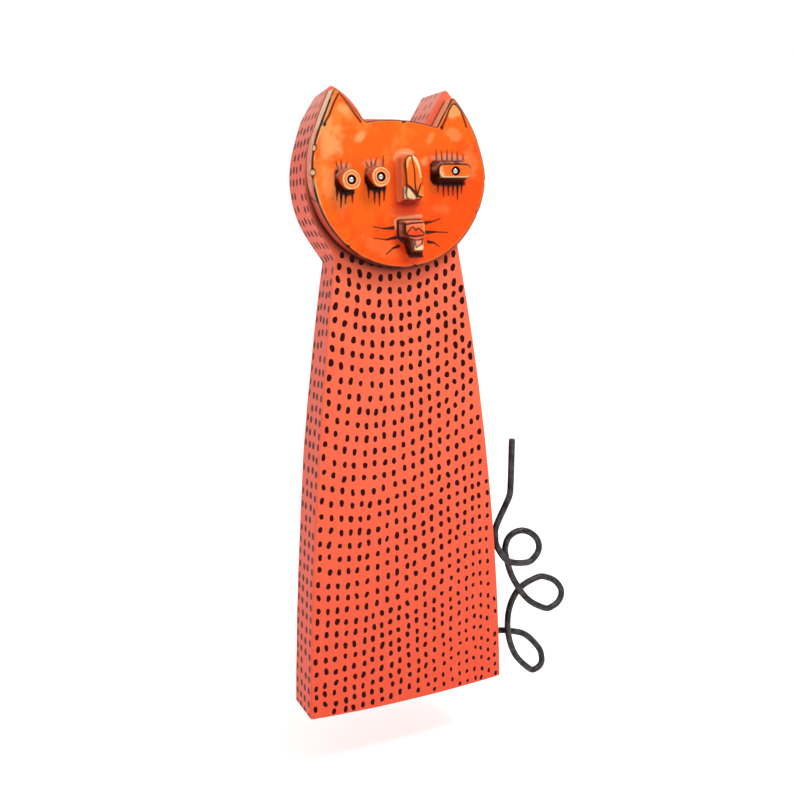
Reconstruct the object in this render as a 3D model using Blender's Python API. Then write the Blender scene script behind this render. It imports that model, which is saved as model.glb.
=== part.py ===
"""A wall-hung cat: a sawn board, a ceramic face with three steel pupils, and a bent rod tail.

Lengths are in metres and +Z is up. The origin is the hanging point on the flat back, behind the
middle of the head. The cat faces -Y, so the wall is the plane y = 0.
Outlines are drawn in the XZ plane, anticlockwise as the front is seen.
"""
import math

import bmesh
import bpy
from mathutils import Vector

# Fit between pieces
joint_gap = 0.0003

# Board
board_thickness = 0.038
board_edge_radius = 0.0012
hang_height = 0.424
base_half_width = 0.0865
base_bow = 0.003
neck_half_width = 0.0525
neck_past_arc = 0.0022
# The right neck corner is this much across and up from the left one's mirror image, and the cut
# from there to the head swells a little before it meets the head's arc
right_neck_step = (-0.0012, 0.0066)
right_cut_bow = 0.0014
right_cut_meets_head = math.radians(-19.6)
# The flanks bow by body_bow, the right one more and the left one less by flank_lean
body_bow = 0.0061
flank_lean = 0.0018
# Where the saw came out at the back, it had leaned in below the neck, over this length of flank
neck_undercut = 0.0034
neck_undercut_drop = 0.0040
neck_undercut_length = 0.148
head_arc_radius = 0.0781
head_arc_past_middle = 0.0045
head_arc_drop = 0.0055
wood_top_bow = 0.0012
# An ear: angle and reach past the arc of its tip, then angle and depth inside the arc of its notch
wood_left_ear = (math.radians(129.6), 0.0100, math.radians(124.9), 0.0243)
wood_right_ear = (math.radians(56), 0.0052, math.radians(55.3), 0.0272)
wood_ear_leaves_early = math.radians(8)
left_ear_inner_bow = 0.0032
# At the back the left ear's tip is this much across and up from its place in front
left_ear_lean = (0.0026, -0.0022)
left_ear_lean_from = 0.040
wood_tip_radius = 0.003
ear_tip_radius = 0.002
notch_radius = 0.0015

# Ceramic face
slab_thickness = 0.0133
slab_edge_radius = 0.0012
disc_radius = 0.0712
disc_middle = (-0.0018, 0.0)
clay_left_ear = (math.radians(130.9), 0.0070, math.radians(128.6), 0.0262)
clay_right_ear = (math.radians(51.8), -0.0010, math.radians(47.9), 0.0272)
clay_top_bow = 0.0032
left_ear_leaves_disc = math.radians(153)
right_ear_leaves_disc = math.radians(-4)
left_ear_bow = 0.0003
right_ear_bow = 0.0058
ear_line_width = 0.0013
chip_radius = 0.0032
chip_depth = 0.0013
chip_slant = 0.7

# Round eyes
tube_radius = 0.0070
tube_foot_radius = 0.0084
tube_height = 0.012
tube_groove_depth = 0.0004
outer_eye = (-0.0472, -0.0070)
inner_eye = (-0.0241, -0.0049)

# Long eye
block_eye = (0.0364, -0.0006)
block_eye_face_middle = (0.0373, -0.0003)
block_eye_face = (0.028, 0.0106)
block_eye_foot = (0.0295, 0.0176)
block_eye_corner = 0.0042
block_eye_height = 0.010
block_eye_brow = 0.8

lip_round = 0.0004

# Pupils
pupil_radius = 0.0026
pupil_side_gap = 0.0006
pupil_proud = 0.0002
block_eye_pupil_shift = 0.0007

# Nose and mouth
nose_height = 0.0115
nose_ridge = 0.0010
nostril_fall = 0.0024
mouth_height = 0.0110
lip_fall = 0.0016
lip_groove_width = 0.0012
mouth_foot_share = 0.45
feature_root = 0.001

# Tail
rod_radius = 0.00275
crossing_gap = 0.0007
tail_from_wall = 0.013
tail_hole_height = 0.0295
tail_socket_depth = 0.022
drill_run_in = 0.01
bend_unit = 0.001
rod_point_spacing = 0.0042

outline_turn = math.radians(4)


def principled(name, colour, roughness, metallic=0.0):
    material = bpy.data.materials.new(name)
    material.use_nodes = True
    shader = material.node_tree.nodes["Principled BSDF"]
    shader.inputs["Base Color"].default_value = (*colour, 1.0)
    shader.inputs["Roughness"].default_value = roughness
    shader.inputs["Metallic"].default_value = metallic
    return material


def board_paint():
    return principled("coral board paint", (0.90, 0.14, 0.07), 0.5)


def orange_glaze():
    return principled("orange glaze", (0.95, 0.20, 0.03), 0.25)


def polished_steel():
    return principled("polished steel", (0.75, 0.75, 0.76), 0.15, 1.0)


def dark_steel():
    return principled("dark steel rod", (0.06, 0.06, 0.065), 0.4, 0.8)


def new_object(name, mesh, material):
    mesh.materials.append(material)
    thing = bpy.data.objects.new(name, mesh)
    bpy.context.scene.collection.objects.link(thing)
    return thing


def mesh_from(name, shape):
    shape.normal_update()
    bmesh.ops.recalc_face_normals(shape, faces=shape.faces)
    mesh = bpy.data.meshes.new(name)
    shape.to_mesh(mesh)
    shape.free()
    return mesh


def arc_about(middle, radius, start, end, fewest=3):
    """Points on a circle from one angle to another, both ends included."""
    count = max(fewest, math.ceil(abs(end - start) / outline_turn))
    angles = [start + (end - start) * i / count for i in range(count + 1)]
    return [Vector((middle[0] + radius * math.cos(a), middle[1] + radius * math.sin(a))) for a in angles]


def bowed_line(start, end, bow):
    """A circular arc between two points that swells to the right of its way by bow."""
    start, end = Vector(start), Vector(end)
    chord = end - start
    outward = Vector((chord.y, -chord.x)).normalized()
    if abs(bow) < 0.00001:
        return [start, end]
    radius = (chord.length ** 2 / 4 + bow ** 2) / (2 * bow)
    middle = (start + end) / 2 - outward * (radius - bow)
    first = math.atan2(start.y - middle.y, start.x - middle.x)
    turn = 2 * math.asin(min(1.0, chord.length / (2 * abs(radius)))) * (1 if bow > 0 else -1)
    return arc_about(middle, abs(radius), first, first + turn, fewest=9)


def touch_angle(middle, radius, point, side):
    """Angle on a circle where a straight line from an outside point touches it."""
    away = Vector(point) - Vector(middle)
    spread = math.acos(min(1.0, radius / away.length))
    return math.atan2(away.y, away.x) + side * spread


def fillet(before, corner, after, radius):
    """A round corner of the given radius between two straight edges."""
    before, corner, after = Vector(before), Vector(corner), Vector(after)
    one, other = (before - corner).normalized(), (after - corner).normalized()
    half = one.angle(other) / 2
    reach = min(radius / math.tan(half), 0.45 * (before - corner).length, 0.45 * (after - corner).length)
    first, last = corner + one * reach, corner + other * reach
    return [first, first.lerp(last, 0.5).lerp(corner, 0.5 * (1 - math.sin(half))), last]


def joined(*runs):
    """Runs of points as one outline, with points that fall together left out."""
    points = [point for run in runs for point in run]
    kept = [p for p, q in zip(points, points[1:] + points[:1]) if (Vector(p) - Vector(q)).length > 0.0002]
    return [Vector(p) for p in kept]


def ear_corners(middle, radius, ear):
    """The tip and the notch of an ear, both placed from the arc that the ear grows out of."""
    tip_angle, reach, notch_angle, cut = ear
    tip = Vector(middle) + (radius + reach) * Vector((math.cos(tip_angle), math.sin(tip_angle)))
    notch = Vector(middle) + (radius - cut) * Vector((math.cos(notch_angle), math.sin(notch_angle)))
    return tip, notch


def neck_level():
    """Height of the neck corners: where the neck's width meets a circle just outside the head's arc."""
    across = neck_half_width + head_arc_past_middle
    return -head_arc_drop - math.sqrt((head_arc_radius + neck_past_arc) ** 2 - across ** 2)


def tangent_bow(start, way, end):
    """An arc that sets off from start along way and reaches end."""
    chord = Vector(end) - Vector(start)
    return abs(chord.length / 2 * math.tan(Vector(way).angle(chord) / 2))


def outer_ear_edge(middle, radius, tip, side):
    """Where an ear leaves the head's arc, and the bow of its outer edge from there to the tip."""
    leaves = touch_angle(middle, radius, tip, side) + side * wood_ear_leaves_early
    start = Vector(middle) + radius * Vector((math.cos(leaves), math.sin(leaves)))
    way = Vector((side * math.sin(leaves), -side * math.cos(leaves)))
    return leaves, tangent_bow(start, way, tip)


def wood_outline():
    """Base, bowed sides to the neck, then one arc a side, cut in to the neck and bowed to the ear."""
    left_base, right_base = (-base_half_width, -hang_height), (base_half_width, -hang_height)
    left_neck, right_neck = (-neck_half_width, neck_level()), (neck_half_width, neck_level())
    right_middle = (-head_arc_past_middle, -head_arc_drop)
    left_middle = (head_arc_past_middle, -head_arc_drop)
    radius = head_arc_radius
    right_tip, right_notch = ear_corners(right_middle, radius, wood_right_ear)
    left_tip, left_notch = ear_corners(left_middle, radius, wood_left_ear)
    right_corner = Vector(right_neck) + Vector(right_neck_step)
    right_high, right_bow = outer_ear_edge(right_middle, radius, right_tip, -1)
    left_high, left_bow = outer_ear_edge(left_middle, radius, left_tip, 1)
    left_low = touch_angle(left_middle, radius, left_neck, -1) + 2 * math.pi
    right_side = arc_about(right_middle, radius, right_cut_meets_head, right_high)
    left_side = arc_about(left_middle, radius, left_high, left_low)
    right_edge = bowed_line(right_side[-1], right_tip, right_bow)
    left_edge = bowed_line(left_tip, left_side[0], left_bow)
    left_inner = bowed_line(left_notch, left_tip, left_ear_inner_bow)
    return joined(
        bowed_line(left_base, right_base, base_bow),
        bowed_line(right_base, right_neck, body_bow + flank_lean),
        bowed_line(right_corner, right_side[0], right_cut_bow),
        right_side,
        right_edge[1:-1],
        fillet(right_edge[-2], right_tip, right_notch, wood_tip_radius),
        fillet(right_tip, right_notch, left_notch, notch_radius),
        bowed_line(right_notch, left_notch, wood_top_bow)[1:-1],
        fillet(right_notch, left_notch, left_inner[1], notch_radius),
        left_inner[1:-1],
        fillet(left_inner[-2], left_tip, left_edge[1], wood_tip_radius),
        left_edge[1:-1],
        left_side,
        bowed_line(left_neck, left_base, body_bow - flank_lean),
    )


def undercut(outline):
    """The outline at the board's back, where the saw leaned in below the neck and at the left ear."""
    neck = neck_level()
    ear_tip = max(point.y for point in outline if point.x < 0)
    back = []
    for point in outline:
        below = neck - point.y + (right_neck_step[1] if point.x > 0 else 0)
        if point.x < 0 and point.y > left_ear_lean_from:
            share = (point.y - left_ear_lean_from) / (ear_tip - left_ear_lean_from)
            back.append(point + share * Vector(left_ear_lean))
            continue
        if below < -joint_gap or below > neck_undercut_length:
            back.append(point)
            continue
        share = 1 - max(0.0, below) / neck_undercut_length
        drop = neck_undercut_drop if below < joint_gap else 0.0
        back.append(Vector((point.x - math.copysign(neck_undercut * share, point.x), point.y - drop)))
    return back


def clay_outline():
    """A disc whose ears leave it in a bowed line to each tip, with a low arc between them."""
    turn = 2 * math.pi
    right_tip, right_notch = ear_corners(disc_middle, disc_radius, clay_right_ear)
    left_tip, left_notch = ear_corners(disc_middle, disc_radius, clay_left_ear)
    disc = arc_about(disc_middle, disc_radius, left_ear_leaves_disc, right_ear_leaves_disc + turn)
    right_edge = bowed_line(disc[-1], right_tip, right_ear_bow)
    left_edge = bowed_line(left_tip, disc[0], left_ear_bow)
    return joined(
        disc,
        right_edge[:-1],
        fillet(right_edge[-2], right_tip, right_notch, ear_tip_radius),
        fillet(right_tip, right_notch, left_notch, notch_radius),
        bowed_line(right_notch, left_notch, clay_top_bow)[1:-1],
        fillet(right_notch, left_notch, left_tip, notch_radius),
        fillet(left_notch, left_tip, left_edge[1], ear_tip_radius),
        left_edge[1:],
    )


def slab(name, back_outline, outline, back, front, edge_radius, material):
    """A plate between an outline at its back and one at its front, with its long edges eased."""
    shape = bmesh.new()
    rings = [[shape.verts.new((p.x, y, p.y)) for p in edge]
             for edge, y in ((back_outline, back), (outline, front))]
    shape.faces.new(rings[0])
    shape.faces.new(rings[1])
    for i in range(len(outline)):
        j = (i + 1) % len(outline)
        shape.faces.new((rings[0][i], rings[0][j], rings[1][j], rings[1][i]))
    plate = new_object(name, mesh_from(name, shape), material)
    eased = plate.modifiers.new("eased edges", "BEVEL")
    eased.width = edge_radius
    eased.segments = 2
    eased.limit_method = "ANGLE"
    eased.angle_limit = math.radians(60)
    return plate


def as_tool(thing, family):
    """Mark an object as one that only shapes another, and file it with its family."""
    thing.hide_render = True
    thing.display_type = "WIRE"
    bpy.context.scene.collection.objects.unlink(thing)
    family.objects.link(thing)


def tool_family(name):
    family = bpy.data.collections.new(name)
    bpy.context.scene.collection.children.link(family)
    return family


def shape_with(thing, family, operation):
    step = thing.modifiers.new(operation.lower(), "BOOLEAN")
    step.operation = operation
    step.operand_type = "COLLECTION"
    step.collection = family
    step.solver = "EXACT"


clay_back = -(board_thickness + joint_gap)
clay_front = clay_back - slab_thickness


def lathe(name, middle, profile, material, sides=28):
    """Turn a profile of (radius, height off the face) round an axis along Y."""
    shape = bmesh.new()
    rings = []
    for radius, height in profile:
        y = clay_front - height
        if radius == 0:
            rings.append([shape.verts.new((middle[0], y, middle[1]))])
            continue
        angles = [2 * math.pi * i / sides for i in range(sides)]
        rings.append([shape.verts.new((middle[0] + radius * math.cos(a), y, middle[1] + radius * math.sin(a)))
                      for a in angles])
    for inner, outer in zip(rings, rings[1:]):
        for i in range(sides):
            j = (i + 1) % sides
            corners = (inner[i % len(inner)], inner[j % len(inner)], outer[j % len(outer)], outer[i % len(outer)])
            shape.faces.new(list(dict.fromkeys(corners)))
    return new_object(name, mesh_from(name, shape), material)


pupil_hole_radius = pupil_radius + pupil_side_gap
pupil_hole_depth = 2 * pupil_radius + joint_gap - pupil_proud


def round_eye(name, middle, material):
    """A clay tube with a flared foot, a rolled lip, a pressed ring and a blind hole."""
    lip, ring = tube_radius, (tube_radius + pupil_hole_radius) / 2
    profile = [
        (0, -feature_root), (tube_foot_radius, -feature_root), (tube_foot_radius, 0.0006),
        (0.94 * tube_foot_radius, 0.25 * tube_height), (0.97 * lip, 0.6 * tube_height),
        (lip, 0.92 * tube_height), (0.93 * lip, tube_height), (1.12 * ring, tube_height),
        (ring, tube_height - tube_groove_depth), (0.9 * ring, tube_height),
        (pupil_hole_radius, tube_height), (pupil_hole_radius, tube_height - pupil_hole_depth),
        (0, tube_height - pupil_hole_depth),
    ]
    return lathe(name, middle, profile, material)


def rounded_rectangle(middle, size, corner):
    """A rectangle with quarter rounds, as points in the XZ plane."""
    points = []
    half = (size[0] / 2 - corner, size[1] / 2 - corner)
    for quarter, (side, level) in enumerate(((1, 1), (-1, 1), (-1, -1), (1, -1))):
        centre = (middle[0] + side * half[0], middle[1] + level * half[1])
        for step in range(5):
            angle = math.radians(90 * quarter + 22.5 * step)
            points.append(Vector((centre[0] + corner * math.cos(angle), centre[1] + corner * math.sin(angle))))
    return points


def stacked(name, rings, material):
    """A closed block through rings of equal count, each a pair of outline and height off the face."""
    shape = bmesh.new()
    levels = [[shape.verts.new((p[0], clay_front - height, p[1])) for p in outline] for outline, height in rings]
    count = len(levels[0])
    for low, high in zip(levels, levels[1:]):
        for i in range(count):
            j = (i + 1) % count
            shape.faces.new((low[i], low[j], high[j], high[i]))
    shape.faces.new(levels[0])
    shape.faces.new(levels[-1])
    return new_object(name, mesh_from(name, shape), material)


def block_eye_body(material):
    """The long eye: a rounded block that narrows from its foot to its face."""
    foot = rounded_rectangle(block_eye, block_eye_foot, block_eye_corner)
    face = rounded_rectangle(block_eye_face_middle, block_eye_face, block_eye_corner)
    brow = [f.lerp(g, block_eye_brow) for f, g in zip(foot, face)]
    inset = rounded_rectangle(block_eye_face_middle, [s - 2 * lip_round for s in block_eye_face],
                              block_eye_corner - lip_round)
    heights = (-feature_root, 2 * lip_round, block_eye_brow * block_eye_height - lip_round,
               block_eye_height - lip_round, block_eye_height)
    return stacked("long eye", list(zip((foot, foot, brow, face, inset), heights)), material)


def hole_cutter(middle, height, material):
    """What a pupil's blind hole takes out of a block that stands height off the face."""
    profile = [(0, height - pupil_hole_depth), (pupil_hole_radius, height - pupil_hole_depth),
               (pupil_hole_radius, height + feature_root), (0, height + feature_root)]
    return lathe("pupil hole", middle, profile, material)


# Nose corners as (x, z) from the middle of the head, from the brow down its left side and round
nose_face = [(-0.0018, 0.0108), (-0.0047, 0.0086), (-0.0047, -0.0115), (-0.0048, -0.0206),
             (0.0026, -0.0216), (0.0052, -0.0206), (0.0110, -0.0198), (0.0094, -0.0085),
             (0.0076, 0.0036), (0.0042, 0.0107)]
nose_foot = [(-0.0035, 0.0142), (-0.0074, 0.0085), (-0.0070, -0.0105), (-0.0066, -0.0222),
             (0.0028, -0.0234), (0.0064, -0.0224), (0.0132, -0.0214), (0.0120, -0.0085),
             (0.0104, 0.0045), (0.0065, 0.0142)]
nose_bridge_top = (0.0008, 0.0108)
nose_point = (0.0036, -0.0170)


def nose_body(material):
    """Two long panels that meet in a low ridge, over two nostril facets that fall back."""
    shape = bmesh.new()
    foot = [shape.verts.new((x, clay_front + feature_root, z)) for x, z in nose_foot]
    falls = [nostril_fall if i in (3, 4, 5, 6) else 0 for i in range(len(nose_face))]
    rim = [shape.verts.new((x, clay_front - nose_height + fall, z)) for (x, z), fall in zip(nose_face, falls)]
    top = shape.verts.new((nose_bridge_top[0], clay_front - nose_height - nose_ridge / 2, nose_bridge_top[1]))
    point = shape.verts.new((nose_point[0], clay_front - nose_height - nose_ridge, nose_point[1]))
    count = len(rim)
    for i in range(count - 1):
        shape.faces.new((foot[i], foot[i + 1], rim[i + 1], rim[i]))
    shape.faces.new((foot[-1], foot[0], rim[0], top, rim[-1]))
    shape.faces.new(foot)
    for corners in ((top, rim[0], rim[1]), (top, rim[1], rim[2], point), (point, rim[2], rim[3], rim[4]),
                    (point, rim[4], rim[5]), (point, rim[5], rim[6], rim[7]), (point, rim[7], rim[8], top),
                    (top, rim[8], rim[9])):
        shape.faces.new(corners)
    bmesh.ops.triangulate(shape, faces=shape.faces)
    return new_object("nose", mesh_from("nose", shape), material)


# Mouth corners as (x, z) from the middle of the head, from the top left down and round
mouth_foot = [(-0.0068, -0.0352), (-0.0070, -0.0490), (-0.0010, -0.0535), (0.0008, -0.0590),
              (0.0028, -0.0632), (0.0136, -0.0634), (0.0136, -0.0350)]
mouth_face = [(-0.0062, -0.0385), (-0.0062, -0.0450), (-0.0034, -0.0478), (0.0100, -0.0478),
              (0.0106, -0.0440), (0.0100, -0.0380)]
chin_face = [(-0.0012, -0.0484), (-0.0008, -0.0582), (0.0094, -0.0584), (0.0100, -0.0484)]


def spread(outline, amount):
    """An outline pushed out from its own middle by a share."""
    middle = sum((Vector(p) for p in outline), Vector((0, 0))) / len(outline)
    return [middle + (Vector(p) - middle) * (1 + amount) for p in outline]


def mouth_bodies(material):
    """A stepped block: a broad foot, the upper lip on it, and the narrower lip and chin below."""
    foot_top = mouth_foot_share * mouth_height
    foot = stacked("mouth foot", [(mouth_foot, -feature_root), (mouth_foot, 0.0007),
                                  (spread(mouth_foot, -0.10), foot_top)], material)
    lip = stacked("upper lip", [(spread(mouth_face, 0.10), foot_top - 0.001),
                                (spread(mouth_face, 0.02), mouth_height - 0.0008),
                                (spread(mouth_face, -0.06), mouth_height)], material)
    chin = stacked("lip and chin", [(spread(chin_face, 0.10), foot_top - 0.0012),
                                    (spread(chin_face, 0.02), mouth_height - lip_fall - 0.0008),
                                    (spread(chin_face, -0.06), mouth_height - lip_fall)], material)
    return foot, lip, chin


def groove_cutter(name, route, depth_of_face, width, material):
    """A square bar on its corner along a route of (x, z) points, half sunk in a face."""
    shape = bmesh.new()
    route = [Vector(p) for p in route]
    rings = []
    for i, point in enumerate(route):
        along = (route[min(i + 1, len(route) - 1)] - route[max(i - 1, 0)]).normalized()
        across = Vector((-along.y, along.x)) * width / 2
        corners = ((point.x + across.x, depth_of_face, point.y + across.y),
                   (point.x, depth_of_face + width / 2, point.y),
                   (point.x - across.x, depth_of_face, point.y - across.y),
                   (point.x, depth_of_face - width, point.y))
        rings.append([shape.verts.new(c) for c in corners])
    for one, other in zip(rings, rings[1:]):
        for i in range(4):
            j = (i + 1) % 4
            shape.faces.new((one[i], one[j], other[j], other[i]))
    shape.faces.new(rings[0])
    shape.faces.new(rings[-1])
    return new_object(name, mesh_from(name, shape), material)


left_ear_lines = (((-0.0502, 0.0541), (-0.0567, 0.0439), (-0.0624, 0.0320)),
                  ((-0.0480, 0.0540), (-0.0420, 0.0468), (-0.0339, 0.0345)))
right_ear_line = ((0.0314, 0.0311), (0.0363, 0.0407), (0.0398, 0.0474), (0.0424, 0.0496),
                  (0.0457, 0.0468), (0.0491, 0.0411), (0.0532, 0.0316))
lip_line = ((-0.0060, -0.0440), (-0.0009, -0.0419), (0.0008, -0.0405), (0.0032, -0.0431),
            (0.0065, -0.0417), (0.0097, -0.0454))


def rim_places():
    """Where the rim is chipped: two bites in the top edge, the rest by their angle on the disc."""
    places = [Vector((0.0004, 0.0365)), Vector((-0.0276, 0.0366))]
    for degrees in (167, 181, 230, 277, 334, 354):
        angle = math.radians(degrees)
        places.append(Vector(disc_middle) + disc_radius * Vector((math.cos(angle), math.sin(angle))))
    return places


def chip_cutter(place, material):
    """A ball that takes a shallow scoop off the slab's front edge."""
    shape = bmesh.new()
    bmesh.ops.create_icosphere(shape, subdivisions=2, radius=chip_radius)
    reach = chip_slant * (chip_radius - chip_depth)
    outward = place.normalized() * reach
    middle = Vector((place.x + outward.x, clay_front - reach, place.y + outward.y))
    bmesh.ops.translate(shape, verts=shape.verts, vec=middle)
    return new_object("chip", mesh_from("chip", shape), material)


def ceramic_face():
    """One fired piece: the slab with its eyes, nose and mouth, cut by holes, lines and chips."""
    glaze = orange_glaze()
    outline = clay_outline()
    face = slab("ceramic_face", outline, outline, clay_back, clay_front, slab_edge_radius, glaze)
    raised = tool_family("raised features")
    raised_parts = [round_eye("outer eye", outer_eye, glaze), round_eye("inner eye", inner_eye, glaze),
                    block_eye_body(glaze), nose_body(glaze), *mouth_bodies(glaze)]
    for part in raised_parts:
        as_tool(part, raised)
    cut = tool_family("cut features")
    cutters = [hole_cutter(right_pupil_place(), block_eye_height, glaze)]
    cutters += [groove_cutter("ear line", line, clay_front, ear_line_width, glaze)
                for line in (*left_ear_lines, right_ear_line)]
    cutters.append(groove_cutter("lip line", lip_line, clay_front - mouth_height, lip_groove_width, glaze))
    cutters += [chip_cutter(place, glaze) for place in rim_places()]
    for cutter in cutters:
        as_tool(cutter, cut)
    shape_with(face, raised, "UNION")
    shape_with(face, cut, "DIFFERENCE")
    return face


def right_pupil_place():
    return (block_eye_face_middle[0] + block_eye_pupil_shift, block_eye_face_middle[1])


def pupil(name, middle, height, material):
    """A steel ball that sits in its hole, a hair proud of the clay round it."""
    shape = bmesh.new()
    bmesh.ops.create_icosphere(shape, subdivisions=2, radius=pupil_radius)
    y = clay_front - height + pupil_radius - pupil_proud
    bmesh.ops.translate(shape, verts=shape.verts, vec=(middle[0], y, middle[1]))
    ball = new_object(name, mesh_from(name, shape), material)
    ball.data.shade_smooth()
    return ball


def half_width_at(height):
    """Half the board's width at a height over its base, along the bowed side."""
    side = bowed_line((base_half_width, 0), (neck_half_width, hang_height + neck_level()), body_bow)
    for low, high in zip(side, side[1:]):
        if low.y <= height <= high.y:
            return low.x + (high.x - low.x) * (height - low.y) / (high.y - low.y)
    return base_half_width


# The rod's way as bent by hand, in bend units out from the board's side at that height and over the
# hole, and how many rod thicknesses it has come forward. Each loop crosses before itself.
rod_way = [(11.5, 0, 0.00), (24, -2.5, 0.03), (40, -8.5, 0.26), (52.5, -22.5, 0.52), (55.5, -31.5, 0.65),
           (54.5, -38.5, 0.74), (48.5, -42, 0.81), (41.5, -40, 0.87), (26.5, -23, 1.00),
           (20, -0.5, 1.05), (22.5, 21.5, 1.05), (33.5, 38, 1.10), (51.5, 45.5, 1.29),
           (61.5, 44, 1.42), (70, 38.5, 1.55), (74.5, 30, 1.68), (72, 22, 1.77), (64.5, 17.5, 1.87),
           (55, 17.5, 1.97), (37, 30, 2.08), (23.5, 52, 2.10), (18, 73, 2.13), (18, 81.5, 2.19),
           (21.5, 89, 2.29), (28, 93, 2.39), (35.5, 93.5, 2.52), (43, 90, 2.65), (48.5, 83, 2.77),
           (48.5, 75, 2.90), (43, 68.5, 3.00), (34.5, 65.5, 3.06), (16.5, 70, 3.13), (7, 84, 3.06),
           (6, 93, 3.00), (8, 102.5, 2.94), (19, 119.5, 2.84), (23.5, 127, 2.81), (25.5, 136, 2.81),
           (31, 176.5, 2.81)]


def tail_route():
    """The rod's centre line, from inside its socket to the free end."""
    step = 2 * rod_radius + crossing_gap
    side = half_width_at(tail_hole_height)
    hole_z = tail_hole_height - hang_height
    inner_end = side - tail_socket_depth + joint_gap
    route = [Vector((inner_end, -tail_from_wall, hole_z)), Vector((side, -tail_from_wall, hole_z))]
    for out, up, forward in rod_way:
        height = tail_hole_height + up * bend_unit
        x = half_width_at(height) + out * bend_unit
        route.append(Vector((x, -tail_from_wall - step * forward, height - hang_height)))
    return route


def smooth_route(corners, spacing):
    """Points at an even spacing along a curve that passes through every corner."""
    ends = [corners[0] * 2 - corners[1], *corners, corners[-1] * 2 - corners[-2]]
    fine = []
    for before, start, end, after in zip(ends, ends[1:], ends[2:], ends[3:]):
        for i in range(12):
            t = i / 12
            fine.append(0.5 * (2 * start + (end - before) * t
                               + (2 * before - 5 * start + 4 * end - after) * t * t
                               + (3 * start - before - 3 * end + after) * t * t * t))
    fine.append(corners[-1])
    points, walked = [fine[0]], 0.0
    for one, other in zip(fine, fine[1:]):
        walked += (other - one).length
        if walked >= spacing:
            points.append(other)
            walked = 0.0
    if (points[-1] - fine[-1]).length < spacing / 2:
        points.pop()
    return [*points, fine[-1]]


def rod_tail():
    """A round rod along the looped route, as a bevelled curve with closed ends."""
    points = smooth_route(tail_route(), rod_point_spacing)
    curve = bpy.data.curves.new("tail", "CURVE")
    curve.dimensions = "3D"
    curve.bevel_depth = rod_radius
    curve.bevel_resolution = 3
    curve.use_fill_caps = True
    spline = curve.splines.new("POLY")
    spline.points.add(len(points) - 1)
    for place, point in zip(spline.points, points):
        place.co = (*point, 1.0)
    return new_object("tail", curve, dark_steel())


def tail_socket(material):
    """The drilled hole in the board's right side that the rod is pushed into."""
    side = half_width_at(tail_hole_height)
    shape = bmesh.new()
    length = tail_socket_depth + drill_run_in
    bmesh.ops.create_cone(shape, cap_ends=True, segments=20, radius1=rod_radius + joint_gap,
                          radius2=rod_radius + joint_gap, depth=length)
    for vert in shape.verts:
        x, y, z = vert.co
        vert.co = (z + side - tail_socket_depth + length / 2, y - tail_from_wall,
                   x + tail_hole_height - hang_height)
    return new_object("tail socket", mesh_from("tail socket", shape), material)


def board():
    """The sawn and painted board, drilled for the tail."""
    paint = board_paint()
    outline = wood_outline()
    plank = slab("board", undercut(outline), outline, 0.0, -board_thickness, board_edge_radius, paint)
    drilled = tool_family("drilled")
    as_tool(tail_socket(paint), drilled)
    shape_with(plank, drilled, "DIFFERENCE")
    return plank


def build():
    for thing in list(bpy.data.objects):
        bpy.data.objects.remove(thing, do_unlink=True)
    board()
    ceramic_face()
    steel = polished_steel()
    pupil("pupil_outer", outer_eye, tube_height, steel)
    pupil("pupil_inner", inner_eye, tube_height, steel)
    pupil("pupil_right", right_pupil_place(), block_eye_height, steel)
    rod_tail()


build()
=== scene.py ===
# %% [markdown]
# # A cat for the wall
#
# The real object is a plank sawn into a cat and painted by hand, a slab of clay modelled and glazed
# for its face, three steel balls for its pupils, and a steel rod bent into a tail. It hangs flat on
# a wall. Each piece is remade here as a fine surface over the solid that has its size and place.
# Lengths are in millimetres, and become metres only when a mesh is made.

# %% Load the frame and keep its box
import math

import bmesh
import bpy
import numpy as np
from mathutils import Matrix, Vector, geometry


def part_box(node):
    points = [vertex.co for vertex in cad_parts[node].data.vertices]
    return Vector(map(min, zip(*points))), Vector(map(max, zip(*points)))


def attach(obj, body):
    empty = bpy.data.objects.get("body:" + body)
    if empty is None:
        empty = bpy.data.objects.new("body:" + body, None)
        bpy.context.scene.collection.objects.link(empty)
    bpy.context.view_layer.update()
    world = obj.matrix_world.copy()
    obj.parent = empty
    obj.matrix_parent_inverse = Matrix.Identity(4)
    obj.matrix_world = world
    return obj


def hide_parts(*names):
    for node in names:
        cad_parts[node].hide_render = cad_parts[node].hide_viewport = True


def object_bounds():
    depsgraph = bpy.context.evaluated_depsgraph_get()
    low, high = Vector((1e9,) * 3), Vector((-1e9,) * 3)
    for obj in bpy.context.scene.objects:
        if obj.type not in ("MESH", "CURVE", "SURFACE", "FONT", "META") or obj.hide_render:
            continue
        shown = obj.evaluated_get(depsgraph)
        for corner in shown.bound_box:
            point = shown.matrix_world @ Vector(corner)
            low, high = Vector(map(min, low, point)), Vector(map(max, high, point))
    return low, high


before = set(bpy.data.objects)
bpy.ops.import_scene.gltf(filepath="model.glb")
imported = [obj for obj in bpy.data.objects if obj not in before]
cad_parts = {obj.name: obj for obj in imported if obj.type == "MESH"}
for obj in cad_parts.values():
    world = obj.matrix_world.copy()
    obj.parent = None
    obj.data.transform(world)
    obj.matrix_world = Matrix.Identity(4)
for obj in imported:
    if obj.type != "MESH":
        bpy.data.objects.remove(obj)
cad_low, cad_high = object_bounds()
mm = 0.001
print("solid box in mm:", [round((b - a) / mm, 1) for a, b in zip(cad_low, cad_high)])

# %% [markdown]
# ## The camera
# The photograph was taken from the left, level with the mouth and looking a little down. A camera
# is three things here: where it stands, how it is turned, and a focal length given in pixels of the
# frame. It could be aimed with a constraint, but a matrix of its right, up and back directions says
# it exactly.

# %% Camera
camera_place = (-0.3090, -0.7164, -0.0504)
camera_turn, camera_tilt, camera_roll = 0.4217, -0.1619, -0.0249
focal_pixels, frame_pixels, sensor_width = 961.1, 794, 36.0


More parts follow.
